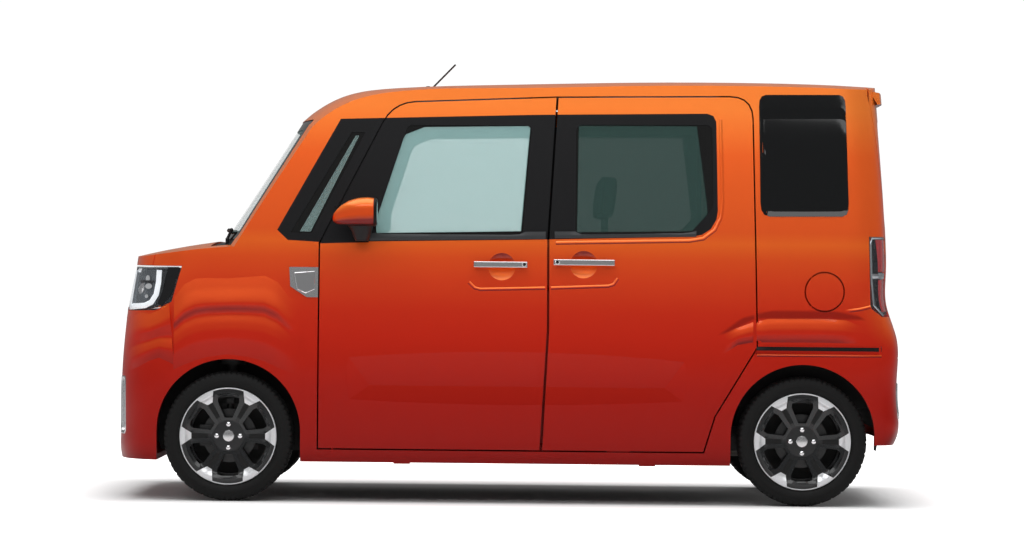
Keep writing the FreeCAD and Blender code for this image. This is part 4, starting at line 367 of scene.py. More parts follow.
dark_pane = pane("darkened glass", (0.010, 0.013, 0.013), 0.90)
dark_glass = plain("dark glass", (0.003, 0.0035, 0.004), 0.04)
lens_pane = pane("clear lens", (0.45, 0.48, 0.52), 0.07)
front_pane = bordered("front door glass", (0.50, 0.82, 0.80), 0.35, front_clear)
rear_pane = bordered("rear door glass", (0.04, 0.085, 0.075), 0.64, rear_clear)
quarter_pane = bordered("front quarter glass", (0.50, 0.72, 0.70), 0.20, quarter_clear)
screen_pane = bordered("windscreen glass", (0.30, 0.55, 0.53), 0.16, screen_clear, True)
tail_pane = bordered("tailgate glass", (0.010, 0.013, 0.013), 0.90, tail_clear, True)
print("finishes so far:", len(bpy.data.materials))

# %% [markdown]
# Every node of the model gets its finish by the start of its name, so one line dresses all four
# tyres. Longer starts come before shorter ones: the front door's glass before the front door.

# %% Dress the nodes
by_name = [
    ("side_frame", door_paint_and_painted_light), ("front_door_glass", front_pane), ("front_door_handle", bright_trim),
    ("rear_door_glass", rear_pane), ("rear_door_handles", bright_trim), ("front_door", door_paint_and_painted_light),
    ("rear_door", door_paint_and_painted_light), ("quarter_glass_front", quarter_pane), ("quarter_glass_rear", dark_pane),
    ("tailgate_glass", tail_pane), ("tailgate", body_paint_and_painted_light), ("windscreen", screen_pane),
    ("roof_panel", body_paint_and_painted_light), ("fender", body_paint_and_painted_light), ("bonnet", body_paint_and_painted_light),
    ("front_bumper", body_paint_and_painted_light), ("rear_bumper", body_paint_and_painted_light), ("fuel_lid", body_paint_and_painted_light),
    ("mirror", mirror_paint_and_painted_light), ("cowl_panel", black_satin), ("grille", black_gloss),
    ("headlamps", lens_pane), ("tail_lamps", lens_pane), ("bumper_lamps", lens_pane),
    ("wing_garnishes", bright_trim), ("licence_plates", plate_white), ("wipers", black_satin),
    ("aerial", black_satin), ("dashboard", dark_grain), ("steering_wheel", dark_grain),
    ("front_seats", dark_grain), ("rear_seat", dark_grain), ("floor_pan", underbody),
    ("engine_block", cast_metal), ("front_suspension", chassis), ("rear_axle", chassis),
    ("knuckle", chassis), ("fuel_tank", black_satin), ("exhaust", pipe_metal), ("tyre", tyre_black),
    ("rim", wheel_black),
]
for name, node in nodes.items():
    finish = next(material for start, material in by_name if name.startswith(start))
    node.data.materials.clear()
    node.data.materials.append(finish)
print("dressed", len(nodes), "nodes")

# %% [markdown]
# The studio's world is white to the camera and through glass, so the background stays plain. To
# everything else it is dim, so the lamps decide how bright the car is.

# %% World
WORLD_SEEN, WORLD_FELT = 0.82, 0.22
world = bpy.data.worlds.new("studio")
bpy.context.scene.world = world
world.use_nodes = True
tree = world.node_tree
sky = tree.nodes["Background"]
sky.inputs["Color"].default_value = (1, 1, 1, 1)
seen = tree.nodes.new("ShaderNodeLightPath")
both = tree.nodes.new("ShaderNodeMath")
both.operation = "MAXIMUM"
tree.links.new(seen.outputs["Is Camera Ray"], both.inputs[0])
tree.links.new(seen.outputs["Is Transmission Ray"], both.inputs[1])
strength = tree.nodes.new("ShaderNodeMath")
strength.operation = "MULTIPLY_ADD"
tree.links.new(both.outputs[0], strength.inputs[0])
strength.inputs[1].default_value = WORLD_SEEN
strength.inputs[2].default_value = WORLD_FELT
tree.links.new(strength.outputs[0], sky.inputs["Strength"])
print("world strength:", WORLD_FELT, "to", WORLD_SEEN + WORLD_FELT)

# %% [markdown]
# The floor is a pale sheet that catches the car's shadow. Away from the car it glows softly to the
# camera alone, until it is as white as the world, so that no horizon shows.

# %% Floor
REACH = 60
GLOW_START_X, GLOW_START_Y, GLOW_RISE = 1.6, 0.65, 1.6
floor_mesh = bpy.data.meshes.new("studio floor")
floor_corners = [(-REACH, -REACH, 0), (REACH, -REACH, 0), (REACH, REACH, 0), (-REACH, REACH, 0)]
floor_mesh.from_pydata(floor_corners, [], [(0, 1, 2, 3)])
studio_floor = bpy.data.objects.new("studio floor", floor_mesh)
bpy.context.scene.collection.objects.link(studio_floor)
floor_finish = Finish("pale floor", Base_Color=(0.82, 0.82, 0.82), Roughness=0.9, Emission_Strength=1.0)
floor_x, floor_y, _ = floor_finish.place()
past_x = (floor_x.math("ABSOLUTE") - GLOW_START_X).math("MAXIMUM", 0.0)
past_y = (floor_y.math("ABSOLUTE") - GLOW_START_Y).math("MAXIMUM", 0.0)
past = (past_x * past_x + past_y * past_y).math("SQRT")
away = (past * GLOW_RISE).math("MINIMUM", 1.0)
floor_path = floor_finish.node("LightPath")
floor_finish.drive("Emission Color", away * Wire(floor_finish, floor_path.outputs["Is Camera Ray"]))
floor_mesh.materials.append(floor_finish.material)
print("floor reaches", REACH, "m each way")

# %% [markdown]
# Five big soft lamps light the car, as in a photographer's hall. The three that stand behind and at
# the ends would print bright boxes on the lacquer, so mirrors don't see them.

# %% Lamps
def lamp(name, place, target, wide, tall, power):
    """A rectangular soft lamp aimed at a point."""
    light = bpy.data.lights.new(name, "AREA")
    light.shape = "RECTANGLE"
    light.size, light.size_y, light.energy = wide, tall, power
    rig = bpy.data.objects.new(name, light)
    rig.location = place
    rig.rotation_euler = (Vector(target) - Vector(place)).to_track_quat("-Z", "Y").to_euler()
    bpy.context.scene.collection.objects.link(rig)
    return rig


MIDDLE = (0, 0, 0.9)
lamp("ceiling", (0, 1.0, 5.2), (0, 0, 0.8), 9, 6, 330)
lamp("left side", (1.0, 8.0, 5.4), MIDDLE, 9, 2, 150)
for name, place, wide, tall, power in [("right side", (-1.0, -8.0, 3.4), 9, 3, 120),
                                       ("front end", (8.0, 0.0, 3.0), 5, 3, 80),
                                       ("rear end", (-8.0, 0.0, 3.0), 5, 3, 80)]:
    lamp(name, place, MIDDLE, wide, tall, power).visible_glossy = False

# %% [markdown]
# Small parts are added as objects of their own. Each one is dressed and told which body of the car
# it rides on, so that a trim on a door swings with the door. Right-angled edges stay sharp and the
# rest is shaded smooth.

# %% Adding a piece to the car
SAME_SPOT = 1e-6


def piece(name, points, faces, finish, body, smooth=True, angle=35):
    """An object from points and faces, dressed and fixed to a body of the car."""
    name = name.replace(" ", "_")
    mesh = bpy.data.meshes.new(name)
    mesh.from_pydata([tuple(point) for point in points], [], faces)
    bm = bmesh.new()
    bm.from_mesh(mesh)
    bmesh.ops.remove_doubles(bm, verts=bm.verts, dist=SAME_SPOT)
    bmesh.ops.recalc_face_normals(bm, faces=bm.faces)
    bm.to_mesh(mesh)
    bm.free()
    mesh.materials.append(finish)
    made = bpy.data.objects.new(name, mesh)
    bpy.context.scene.collection.objects.link(made)
    if smooth:
        mesh.shade_smooth()
        mesh.set_sharp_from_angle(angle=math.radians(angle))
    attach(made, body)
    return made


print("pieces can be added")

# %% [markdown]
# Small parts are turned on a lathe, cut from a flat sheet, or built as a block. Blender's own
# primitives could be scaled to fit, but a mesh from plain lists of points shows its form here.

# %% Turned parts, slabs and blocks
def lathe(section, steps, wobble=None):
    """Points and faces of a section (place along Y, radius) turned about the Y axis."""
    points, faces = [], []
    count = len(section)
    for step in range(steps):
        turn = 2 * math.pi * step / steps
        for index, (y, radius) in enumerate(section):
            shift = wobble(step, index) if wobble else 0
            points.append((math.cos(turn) * (radius + shift), y, math.sin(turn) * (radius + shift)))
    for step in range(steps):
        after = (step + 1) % steps
        for index in range(count - 1):
            faces.append((step * count + index, step * count + index + 1,
                          after * count + index + 1, after * count + index))
    return points, faces


def moved(points, matrix):
    """The same points carried by a matrix."""
    return [matrix @ Vector(point) for point in points]


def slab(front, back):
    """A closed plate between two outlines with the same number of corners."""
    count = len(front)
    faces = [tuple(range(count)), tuple(range(2 * count - 1, count - 1, -1))]
    for index in range(count):
        after = (index + 1) % count
        faces.append((index, after, count + after, count + index))
    return list(front) + list(back), faces


def collect(parts):
    """One mesh from several (points, faces)."""
    points, faces = [], []
    for some_points, some_faces in parts:
        start = len(points)
        points += some_points
        faces += [tuple(index + start for index in face) for face in some_faces]
    return points, faces


def block(low, high):
    """A box between two corners."""
    (x0, y0, z0), (x1, y1, z1) = low, high
    return slab([(x0, y0, z0), (x1, y0, z0), (x1, y1, z0), (x0, y1, z0)],
                [(x0, y0, z1), (x1, y0, z1), (x1, y1, z1), (x0, y1, z1)])


print("turned parts and slabs can be made")

# %% [markdown]
# A tyre is a turned section: a bulged wall with thin rings, a shoulder, and a tread cut by three
# grooves round the tyre and by short slots across its shoulders. Lowering every fourth step of
# the shoulder makes the slots without a single boolean.

# %% Tyres
WHEELS = [("front_left", 1.1925, 0.645, 1), ("front_right", 1.1925, -0.645, -1),
          ("rear_left", -1.2625, 0.6375, 1), ("rear_right", -1.2625, -0.6375, -1)]
TYRE_RADIUS = 0.278
SLOT_STEPS = 280
SHOULDER_SLOT, TREAD_SLOT = 0.0045, 0.0030
SHOULDER_POINTS = range(13, 19)
TREAD_POINTS = (21, 22)
half_section = [(0.0595, 0.1903), (0.0625, 0.196), (0.0640, 0.2075), (0.0690, 0.2110), (0.0700, 0.2135),
                (0.0745, 0.2170), (0.0795, 0.2270), (0.0812, 0.2340), (0.0816, 0.2385), (0.0808, 0.2395),
                (0.0800, 0.2450), (0.0775, 0.2540), (0.0768, 0.2555), (0.0748, 0.2620), (0.0725, 0.2660),
                (0.0690, 0.2700), (0.0620, 0.2735), (0.0500, 0.2762), (0.0420, 0.2768), (0.0410, 0.2712),
                (0.0340, 0.2712), (0.0330, 0.2774), (0.0050, 0.2779), (0.0040, 0.2716)]
tyre_section = [(y, r) for y, r in half_section] + [(-y, r) for y, r in reversed(half_section)]
last = len(tyre_section) - 1


def wheel_place(x, y, side):
    """Where a wheel made round the origin goes; the right ones are turned to face outwards."""
    return Matrix.Translation((x, y, TYRE_RADIUS)) @ Matrix.Rotation(0 if side > 0 else math.pi, 4, "Z")


def tread_slot(step, index):
    """How far a point sinks: shoulder slots on one step in four, middle slots on one in eight."""
    near_edge = min(index, last - index)
    if step % 4 == 0 and near_edge in SHOULDER_POINTS:
        return -SHOULDER_SLOT
    if step % 8 == 4 and near_edge in TREAD_POINTS:
        return -TREAD_SLOT
    return 0.0


tyre_points, tyre_faces = lathe(tyre_section, SLOT_STEPS, tread_slot)
for name, x, y, side in WHEELS:
    placed = moved(tyre_points, wheel_place(x, y, side))
    tyre = piece("tyre " + name, placed, tyre_faces, tyre_black, "wheel_" + name, angle=28)
    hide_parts("tyre_" + name)
print("tyre faces:", len(tyre_faces))

# %% [markdown]
# The wheel is black with bright machined places: a thin ring at its edge and six pads where the
# spokes meet it. Raised dark frames run round the six windows, and between them each spoke has a
# sunk slot. They could be cut from the wheel with booleans; laid on its face they keep clean
# edges. All of them follow the dish of the wheel, whose height at a radius is one function.

# %% Following the wheel's dish
DISH = [(0.0, 0.042), (0.066, 0.042), (0.174, 0.056), (0.183, 0.0697), (0.30, 0.0697)]
FOOT_DEPTH = 0.001


def dish(radius):
    """How far out the face of the wheel stands at a radius."""
    for (r0, y0), (r1, y1) in zip(DISH, DISH[1:]):
        if radius <= r1:
            return y0 + (y1 - y0) * (radius - r0) / (r1 - r0)
    return DISH[-1][1]


def on_face(across, out, rise):
    """A point of the face from its place across and outwards on a spoke or window."""
    return Vector((across, dish(math.hypot(across, out)) + rise, out))


def ribbon(inner, outer, rise, steps=3):
    """A raised band between two outlines on the wheel's face, with its walls."""
    count = len(inner)
    points, faces = [], []
    for level in range(steps + 1):
        share = level / steps
        for (ax, az), (bx, bz) in zip(inner, outer):
            points.append(on_face(ax + (bx - ax) * share, az + (bz - az) * share, rise))
    base = len(points)
    for outline in (inner, outer):
        points += [on_face(x, z, -FOOT_DEPTH) for x, z in outline]
    for index in range(count):
        after = (index + 1) % count
        for level in range(steps):
            low, high = level * count, (level + 1) * count
            faces.append((low + index, low + after, high + after, high + index))
        faces.append((index, after, base + after, base + index))
        top = steps * count
        faces.append((top + index, top + after, base + count + after, base + count + index))
    return points, faces


print("the dish is", round(dish(0.2) - dish(0), 4), "m deep")

# %% [markdown]
# A frame is a band between two outlines: the edge of a window and a line round it. Both are drawn
# on the right half only and mirrored, then divided alike, so that corners face corners.

# %% The frame round one window
def finer(outline, longest=0.016):
    """The same outline with long runs divided."""
    out = []
    for (ax, az), (bx, bz) in zip(outline, outline[1:] + outline[:1]):
        count = max(1, math.ceil(math.hypot(bx - ax, bz - az) / longest))
        out += [(ax + (bx - ax) * step / count, az + (bz - az) * step / count) for step in range(count)]
    return out


def run_along(first, second, longest):
    """Two open lines divided alike."""
    a, b = [first[0]], [second[0]]
    for (p, q), (r, s) in zip(zip(first, first[1:]), zip(second, second[1:])):
        count = max(1, math.ceil(math.hypot(q[0] - p[0], q[1] - p[1]) / longest))
        for step in range(1, count + 1):
            share = step / count
            a.append((p[0] + (q[0] - p[0]) * share, p[1] + (q[1] - p[1]) * share))
            b.append((r[0] + (s[0] - r[0]) * share, r[1] + (s[1] - r[1]) * share))
    return a, b


def closed(outline):
    """An outline with its first corner repeated."""
    return outline + outline[:1]


def both_halves(half):
    """The right half of an outline, from below to above, with its mirrored left half."""
    return half + [(-x, z) for x, z in reversed(half)]


window = both_halves([(0.017, 0.078), (0.046, 0.145), (0.045, 0.165), (0.022, 0.1705)])
frame_edge = both_halves([(0.030, 0.066), (0.067, 0.146), (0.0665, 0.181), (0.030, 0.1905)])
window_rim, frame_rim = (line[:-1] for line in run_along(closed(window), closed(frame_edge), 0.016))
FRAME_RISE = 0.0035
band = ribbon(window_rim, frame_rim, FRAME_RISE)
print("frame points:", len(window_rim))

# %% [markdown]
# The pads and the slots are raised plates on the wheel's face, and the nuts are small turned parts
# with six sides. Each is made once, at the top of the wheel, and copied round its axis.

# %% Pads, slots and nuts
PAD_RISE, SLOT_RISE = 0.0048, 0.0008
NUT_CIRCLE = 0.05
pad_outline = [(0.012, 0.158), (0.0400, 0.1990), (0.021, 0.2035), (0.0, 0.2050), (-0.021, 0.2035),
               (-0.0400, 0.1990), (-0.012, 0.158)]
slot_outline = [(0.0085, 0.088), (0.0105, 0.160), (-0.0105, 0.160), (-0.0085, 0.088)]


def ring_of(parts_at_top, angles):
    """Copies of a part turned about the wheel's axis."""
    points, faces = parts_at_top
    copies = []
    for angle in angles:
        turn = Matrix.Rotation(math.radians(angle), 4, "Y")
        copies.append((moved(points, turn), faces))
    return collect(copies)


def plate(outline, rise, steps=4):
    """A raised plate on the wheel's face, from an outline that narrows outwards or inwards."""
    centre = (sum(x for x, z in outline) / len(outline), sum(z for x, z in outline) / len(outline))
    rim_line = finer(outline, 0.01)
    shares = [level / steps for level in range(1, steps + 1)]
    rings = [[(centre[0] + (x - centre[0]) * share, centre[1] + (z - centre[1]) * share)
              for x, z in rim_line] for share in shares]
    points = [on_face(*centre, rise)]
    faces = []
    count = len(rim_line)
    for ring in rings:
        points += [on_face(x, z, rise) for x, z in ring]
    for index in range(count):
        after = (index + 1) % count
        faces.append((0, 1 + index, 1 + after))
        for level in range(steps - 1):
            low, high = 1 + level * count, 1 + (level + 1) * count
            faces.append((low + index, low + after, high + after, high + index))
    base = len(points)
    points += [on_face(x, z, -FOOT_DEPTH) for x, z in rim_line]
    for index in range(count):
        after = (index + 1) % count
        low = 1 + (steps - 1) * count
        faces.append((low + index, low + after, base + after, base + index))
    return points, faces


def nut(across, out):
    """One wheel nut: a six-sided body with a domed end."""
    section = [(0.036, 0.0125), (0.040, 0.0125), (0.049, 0.0105), (0.054, 0.0095), (0.0565, 0.006),
               (0.0575, 0.0)]
    points, faces = lathe(section, 12)
    return [Vector((p[0] + across, p[1], p[2] + out)) for p in points], faces


bands = ring_of(band, range(0, 360, 60))
pads = ring_of(plate(pad_outline, PAD_RISE), range(30, 390, 60))
slots = ring_of(plate(slot_outline, SLOT_RISE), range(30, 390, 60))
nuts = collect([nut(NUT_CIRCLE * math.sin(math.radians(angle)), NUT_CIRCLE * math.cos(math.radians(angle)))
                for angle in (0, 90, 180, 270)])
print("parts on each wheel:", "6 frames, 6 pads, 6 slots, 4 nuts")

# %% [markdown]
# All four wheels are alike, so the finished rings go on each of them. The cap in the middle is a
# bare dome, and the bright ring at the edge is turned like the cap.

# %% Fit the parts to the wheels
cap = lathe([(0.038, 0.0250), (0.046, 0.0250), (0.0485, 0.0230), (0.0500, 0.016), (0.0508, 0.0)], 48)
edge_ring = lathe([(0.0690, 0.2020), (0.0712, 0.2030), (0.0716, 0.2060), (0.0700, 0.2078),
                   (0.0640, 0.2080)], 96)
slot_black = plain("spoke slot", (0.003, 0.003, 0.003), 0.8)
frame_grey = plain("window frame lacquer", (0.012, 0.013, 0.014), 0.22, 0.2, Coat_Weight=0.5)
wheel_parts = [("window frames", bands, frame_grey), ("bright pads", pads, machined),
               ("spoke slots", slots, slot_black), ("wheel nuts", nuts, mirror_bright),
               ("centre cap", cap, bright_trim), ("rim ring", edge_ring, machined)]
for name, x, y, side in WHEELS:
    for kind, (points, faces), finish in wheel_parts:
        piece(f"{kind} {name}", moved(points, wheel_place(x, y, side)), faces, finish, "wheel_" + name)
print("wheel parts:", len(wheel_parts) * 4)

# %% [markdown]
# Trim has to follow the car's curved skin. Rays sent at the model find that skin, and a patch is
# a grid between two lines that is laid on it: a small lift brings it out, a negative one sinks
# it. A shrinkwrap modifier could do the same; rays leave a plain mesh that needs nothing else. The
# same patch mirrored serves the other side.

# %% Finding the car's skin
SIDE_START, END_START = 3, 4
VIEWS = {
    "side": (lambda across, up: Vector((across, SIDE_START, up)), Vector((0, -1, 0))),
    "front": (lambda across, up: Vector((END_START, across, up)), Vector((-1, 0, 0))),
    "rear": (lambda across, up: Vector((-END_START, across, up)), Vector((1, 0, 0))),
}


def skin_of(*starts):
    """A search tree over the nodes whose names start so."""
    points, faces = [], []
    for name, node in nodes.items():
        if name.startswith(starts):
            start = len(points)
            points += [node.matrix_world @ vertex.co for vertex in node.data.vertices]
            faces += [tuple(index + start for index in face.vertices) for face in node.data.polygons]
    return BVHTree.FromPolygons(points, faces)


print("views:", ", ".join(VIEWS))

# %% [markdown]
# The patch itself has a front and a back, so it is a closed thin plate and not a loose sheet. Its
# front is lifted by a list of heights, from its first line to its second, which makes ridges,
# bezels and swellings with one helper. It can fade out at its ends.

# %% A patch on the skin
USUAL_REACH = 2.3


def other_side(body):
    """The body on the right that matches one on the left."""
    return body.replace("left", "right")


def faded(share, fade):
    """1 along most of a line, and softly down to 0 at the ends that fade."""
    start = min(1.0, share / fade[0]) if fade[0] else 1.0
    end = min(1.0, (1 - share) / fade[1]) if fade[1] else 1.0
    return start * start * (3 - 2 * start) * end * end * (3 - 2 * end)


def patch(name, first, second, finish, body, tree, view="side", lifts=(0.001, 0.001), depth=0.003,
          rows=4, longest=0.03, twin=True, fade=(0.0, 0.0)):
    """A thin plate on the car's skin between two lines.

    The lifts go from the first line to the second, and depth is how far the back lies inside the
    skin. Where a ray misses the skin, the nearest point of it is taken.
    """
    begin, way = VIEWS[view]
    a, b = run_along(first, second, longest)
    fronts, backs, reach = [], [], None
    for level in range(rows + 1):
        share = level / rows
        place = share * (len(lifts) - 1)
        low = min(int(place), len(lifts) - 2)
        lift = lifts[low] + (lifts[low + 1] - lifts[low]) * (place - low)
        for column, ((ax, az), (bx, bz)) in enumerate(zip(a, b)):
            start = begin(ax + (bx - ax) * share, az + (bz - az) * share)
            hit, _, _, distance = tree.ray_cast(start, way)
            reach = distance if hit else reach
            spot = hit or tree.find_nearest(start + way * (reach or USUAL_REACH))[0]
            fronts.append(spot - way * lift * faded(column / (len(a) - 1), fade))
            backs.append(spot + way * depth)
    count, total = len(a), len(fronts)
    faces = []
    for level in range(rows):
        for index in range(count - 1):
            corner = level * count + index
            quad = (corner, corner + 1, corner + count + 1, corner + count)
            faces.append(quad)
            faces.append(tuple(total + number for number in reversed(quad)))
    edge = ([level * count for level in range(rows + 1)]
            + [rows * count + index for index in range(1, count)]
            + [level * count + count - 1 for level in range(rows - 1, -1, -1)]
            + list(range(count - 2, 0, -1)))
    for start, after in zip(edge, edge[1:] + edge[:1]):
        faces.append((start, after, total + after, total + start))
    points = fronts + backs
    made = [piece(name, points, faces, finish, body)]
    if twin:
        flipped = [Vector((x, -y, z)) for x, y, z in points]
        made.append(piece(name + " right", flipped, faces, finish, other_side(body)))
    return made


print("patches can be laid")

# %% [markdown]
# Most patches follow a line or an oval. A strip is the two lines on either side of one, and a disc
# is a patch between the lower and the upper half of an oval.

# %% Strips and discs
def arc(centre, across, up, start, end, steps=12):
    """Points on an oval between two angles in degrees."""
    return [(centre[0] + across * math.cos(math.radians(start + (end - start) * step / steps)),
             centre[1] + up * math.sin(math.radians(start + (end - start) * step / steps)))
            for step in range(steps + 1)]


def disc(name, centre, across, up, finish, body, tree, **more):
    """An oval patch."""
    low, high = arc(centre, across, up, 184, 356), arc(centre, across, up, 176, 4)
    return patch(name, low, high, finish, body, tree, **more)


def strip(line, width):
    """Two lines on either side of one line."""
    below, above = [], []
    for index, (x, z) in enumerate(line):
        ax, az = line[max(index - 1, 0)]
        bx, bz = line[min(index + 1, len(line) - 1)]
        length = math.hypot(bx - ax, bz - az)
        nx, nz = -(bz - az) / length * width / 2, (bx - ax) / length * width / 2
        below.append((x - nx, z - nz))
        above.append((x + nx, z + nz))
    return below, above


print("strips and discs can be laid")

# %% [markdown]
# Along the belt runs a dark moulding, and under the handles each door has a soft ridge. A bump map
# would vanish in profile; a strip that rises from nothing at both edges catches the light like a
# line pressed in the sheet.

# %% Belt mouldings and door ridges
side_skin = skin_of("side_frame_left", "fender_left", "front_door_left", "rear_door_left", "front_bumper",
                    "rear_bumper")
belt_grey = plain("belt moulding", (0.030, 0.033, 0.036), 0.4)
patch("front belt", [(-0.156, 1.134), (0.596, 1.120)], [(-0.156, 1.166), (0.596, 1.152)], belt_grey,
      "front_door_left", side_skin, lifts=(0.002, 0.005, 0.004, 0.004))
patch("rear belt", [(-0.800, 1.150), (-0.166, 1.137)], [(-0.800, 1.176), (-0.166, 1.166)], belt_grey,
      "body", side_skin, lifts=(0.002, 0.005, 0.004, 0.004))
RIDGE = (0.0, 0.0022, 0.0030, 0.0022, 0.0)
for name, line, body in [
    ("front door ridge", [(-0.156, 0.924), (0.120, 0.916), (0.145, 0.922), (0.170, 0.946)],
     "front_door_left"),
    ("rear door ridge", [(-0.467, 0.968), (-0.448, 0.942), (-0.425, 0.935), (-0.166, 0.924)], "body"),
]:
    patch(name, *strip(line, 0.014), body_paint_and_painted_light, body, side_skin, lifts=RIDGE, rows=6, longest=0.015,
          depth=0.001)
print("ridges and mouldings are on")

# %% [markdown]
# A lamp is a clear block with its works inside it: a dark housing at the back, bright pieces in
# front of that, and a bezel on the lens. The lamps wrap round the corners, so each one is worked
# from the side and again from the end of the car.

# %% Headlamp sides
def count_of(start):
    """How many objects have a name that starts so."""
    return sum(1 for item in bpy.data.objects if item.name.startswith(start))


lamp_skin = skin_of("headlamps")
chrome = plain("lamp reflector", (0.50, 0.53, 0.56), 0.2, 0.85)
tray_grey = plain("lamp tray", (0.16, 0.18, 0.20), 0.25, 0.6)
housing = plain("lamp housing", (0.006, 0.006, 0.007), 0.25)
patch("headlamp housing side",
      [(1.420, 0.905), (1.474, 0.845), (1.500, 0.826), (1.636, 0.815), (1.656, 0.815)],
      [(1.408, 0.994), (1.460, 0.994), (1.500, 0.994), (1.615, 0.992), (1.636, 0.990)],
      housing, "body", lamp_skin, lifts=(-0.034, -0.034), depth=0.038)
patch("headlamp rear block",
      [(1.4205, 0.910), (1.4500, 0.868), (1.4830, 0.828), (1.5010, 0.844)],
      [(1.4040, 0.996), (1.4200, 0.997), (1.4580, 0.997), (1.4760, 0.905)],
      black_gloss, "body", lamp_skin, lifts=(0.0008, 0.0008), depth=0.02)
patch("headlamp tray side", [(1.512, 0.838), (1.640, 0.822)], [(1.503, 0.988), (1.620, 0.988)],
      tray_grey, "body", lamp_skin, lifts=(-0.030, -0.030), depth=0.033)
guide = [(1.499, 0.985), (1.501, 0.930), (1.510, 0.880), (1.532, 0.846), (1.562, 0.832), (1.645, 0.824)]
patch("headlamp guide side", *strip(guide, 0.024), lamp_white, "body", lamp_skin,
      lifts=(-0.010, -0.006, -0.010), depth=0.016)
patch("headlamp front bar", *strip([(1.638, 0.832), (1.620, 0.984)], 0.016), lamp_white, "body", lamp_skin,
      lifts=(-0.008, -0.008), depth=0.014)
patch("headlamp top line", *strip([(1.410, 0.9965), (1.617, 0.994)], 0.006), chrome, "body", lamp_skin,
      lifts=(0.0005, 0.0005), depth=0.004)
for place, height, across, tall in [(1.553, 0.948, 0.010, 0.014), (1.548, 0.915, 0.016, 0.012),
                                    (1.556, 0.872, 0.008, 0.008)]:
    disc("headlamp works", (place, height), across, tall, machined, "body", lamp_skin, lifts=(-0.016, -0.016),
         depth=0.022, rows=2)
patch("headlamp shade", [(1.520, 0.930), (1.590, 0.930)], [(1.520, 0.940), (1.590, 0.940)],
      housing, "body", lamp_skin, lifts=(-0.014, -0.014), depth=0.02)
print("headlamp pieces seen from the side:", count_of("headlamp"))

# %% [markdown]
# From the front a headlamp shows two dished reflectors with a round projector in each, inside a
# white light guide that runs round three sides. The same patches serve, laid from the front.

# %% Headlamp fronts
patch("headlamp housing front", [(0.378, 0.815), (0.640, 0.822)], [(0.378, 0.994), (0.640, 0.994)],
      housing, "body", lamp_skin, "front", lifts=(-0.050, -0.050), depth=0.054)
front_guide = [(0.640, 0.832), (0.398, 0.828), (0.388, 0.838), (0.388, 0.972), (0.398, 0.982), (0.520, 0.984)]
patch("headlamp guide front", *strip(front_guide, 0.020), lamp_white, "body", lamp_skin, "front",
      lifts=(-0.010, -0.007, -0.010), depth=0.016)
for across in (0.455, 0.560):
    disc("headlamp dish", (across, 0.905), 0.046, 0.052, chrome, "body", lamp_skin, view="front",
         lifts=(-0.022, -0.036, -0.022), depth=0.040)
    disc("headlamp projector", (across, 0.905), 0.026, 0.030, mirror_bright, "body", lamp_skin, view="front",
         lifts=(-0.018, -0.012, -0.018), depth=0.030)
print("headlamp pieces in all:", count_of("headlamp"))

# %% [markdown]
# A tail lamp on the real car is a tall clear lens with a black chamber behind it, bright wedges
# that stand out of the chamber, and red strips at the rear corner. Each wedge is a patch whose
# middle is lifted towards the lens, so it shows a lit and a shaded slope.

# %% Tail lamps
tail_skin = skin_of("tail_lamps")
patch("tail housing side", [(-1.630, 0.826), (-1.606, 0.822), (-1.560, 0.860)],
      [(-1.630, 1.150), (-1.606, 1.150), (-1.551, 1.148)], housing, "body", tail_skin,
      lifts=(-0.026, -0.026), depth=0.030)
for height in (1.105, 1.051, 0.936, 0.881):
    patch("tail fin", [(-1.632, height - 0.006), (-1.590, height - 0.006), (-1.562, height - 0.001)],
          [(-1.632, height + 0.006), (-1.590, height + 0.006), (-1.562, height + 0.001)],
          mirror_bright, "body", tail_skin, lifts=(-0.020, -0.006, -0.020), depth=0.022)
patch("tail middle bar", [(-1.636, 0.976), (-1.556, 0.979)], [(-1.636, 0.998), (-1.556, 0.999)],
      chrome, "body", tail_skin, lifts=(-0.012, -0.004, -0.012), depth=0.018)
for low, high in ((0.838, 0.974), (1.008, 1.146)):
    patch("tail red side", [(-1.628, low), (-1.628, high)], [(-1.650, low), (-1.650, high)], lamp_red, "body",
          tail_skin, lifts=(-0.002, -0.002), depth=0.008)
    patch("tail red rear", [(0.606, low), (0.606, high)], [(0.672, low), (0.672, high)], lamp_red, "body",
          tail_skin, "rear", lifts=(-0.003, -0.003), depth=0.010)
patch("tail white rear", [(0.606, 0.979), (0.672, 0.979)], [(0.606, 1.003), (0.672, 1.003)], chrome, "body",
      tail_skin, "rear", lifts=(-0.003, -0.003), depth=0.010)
tail_edge = [(-1.606, 0.8205), (-1.562, 0.866), (-1.551, 0.984), (-1.548, 1.130), (-1.554, 1.1515),
             (-1.640, 1.1535)]
patch("tail bezel", *strip(tail_edge, 0.008), chrome, "body", tail_skin, lifts=(0.0005, 0.0025, 0.0005),
      depth=0.004, longest=0.012)
print("tail lamp pieces:", count_of("tail_"))

# %% [markdown]
# The tall lamps in the front bumper and the reflectors in the rear one are framed by a bright
# bezel. Each bezel is a band between two boxes with cut corners, highest along its middle.

# %% Bumper lamps and reflectors
bumper_skin = skin_of("front_bumper", "bumper_lamps")
rear_skin = skin_of("rear_bumper", "tailgate")
LIGHT_ROWS, LIGHT_PITCH, LIGHT_HEIGHT = 5, 0.020, 0.010


def box_line(left, low, right, high, cut=0.0):
    """A rectangle's corners, bevelled when a cut is given."""
    if not cut:
        return [(left, low), (right, low), (right, high), (left, high)]
    return [(left + cut, low), (right - cut, low), (right, low + cut), (right, high - cut),
            (right - cut, high), (left + cut, high), (left, high - cut), (left, low + cut)]


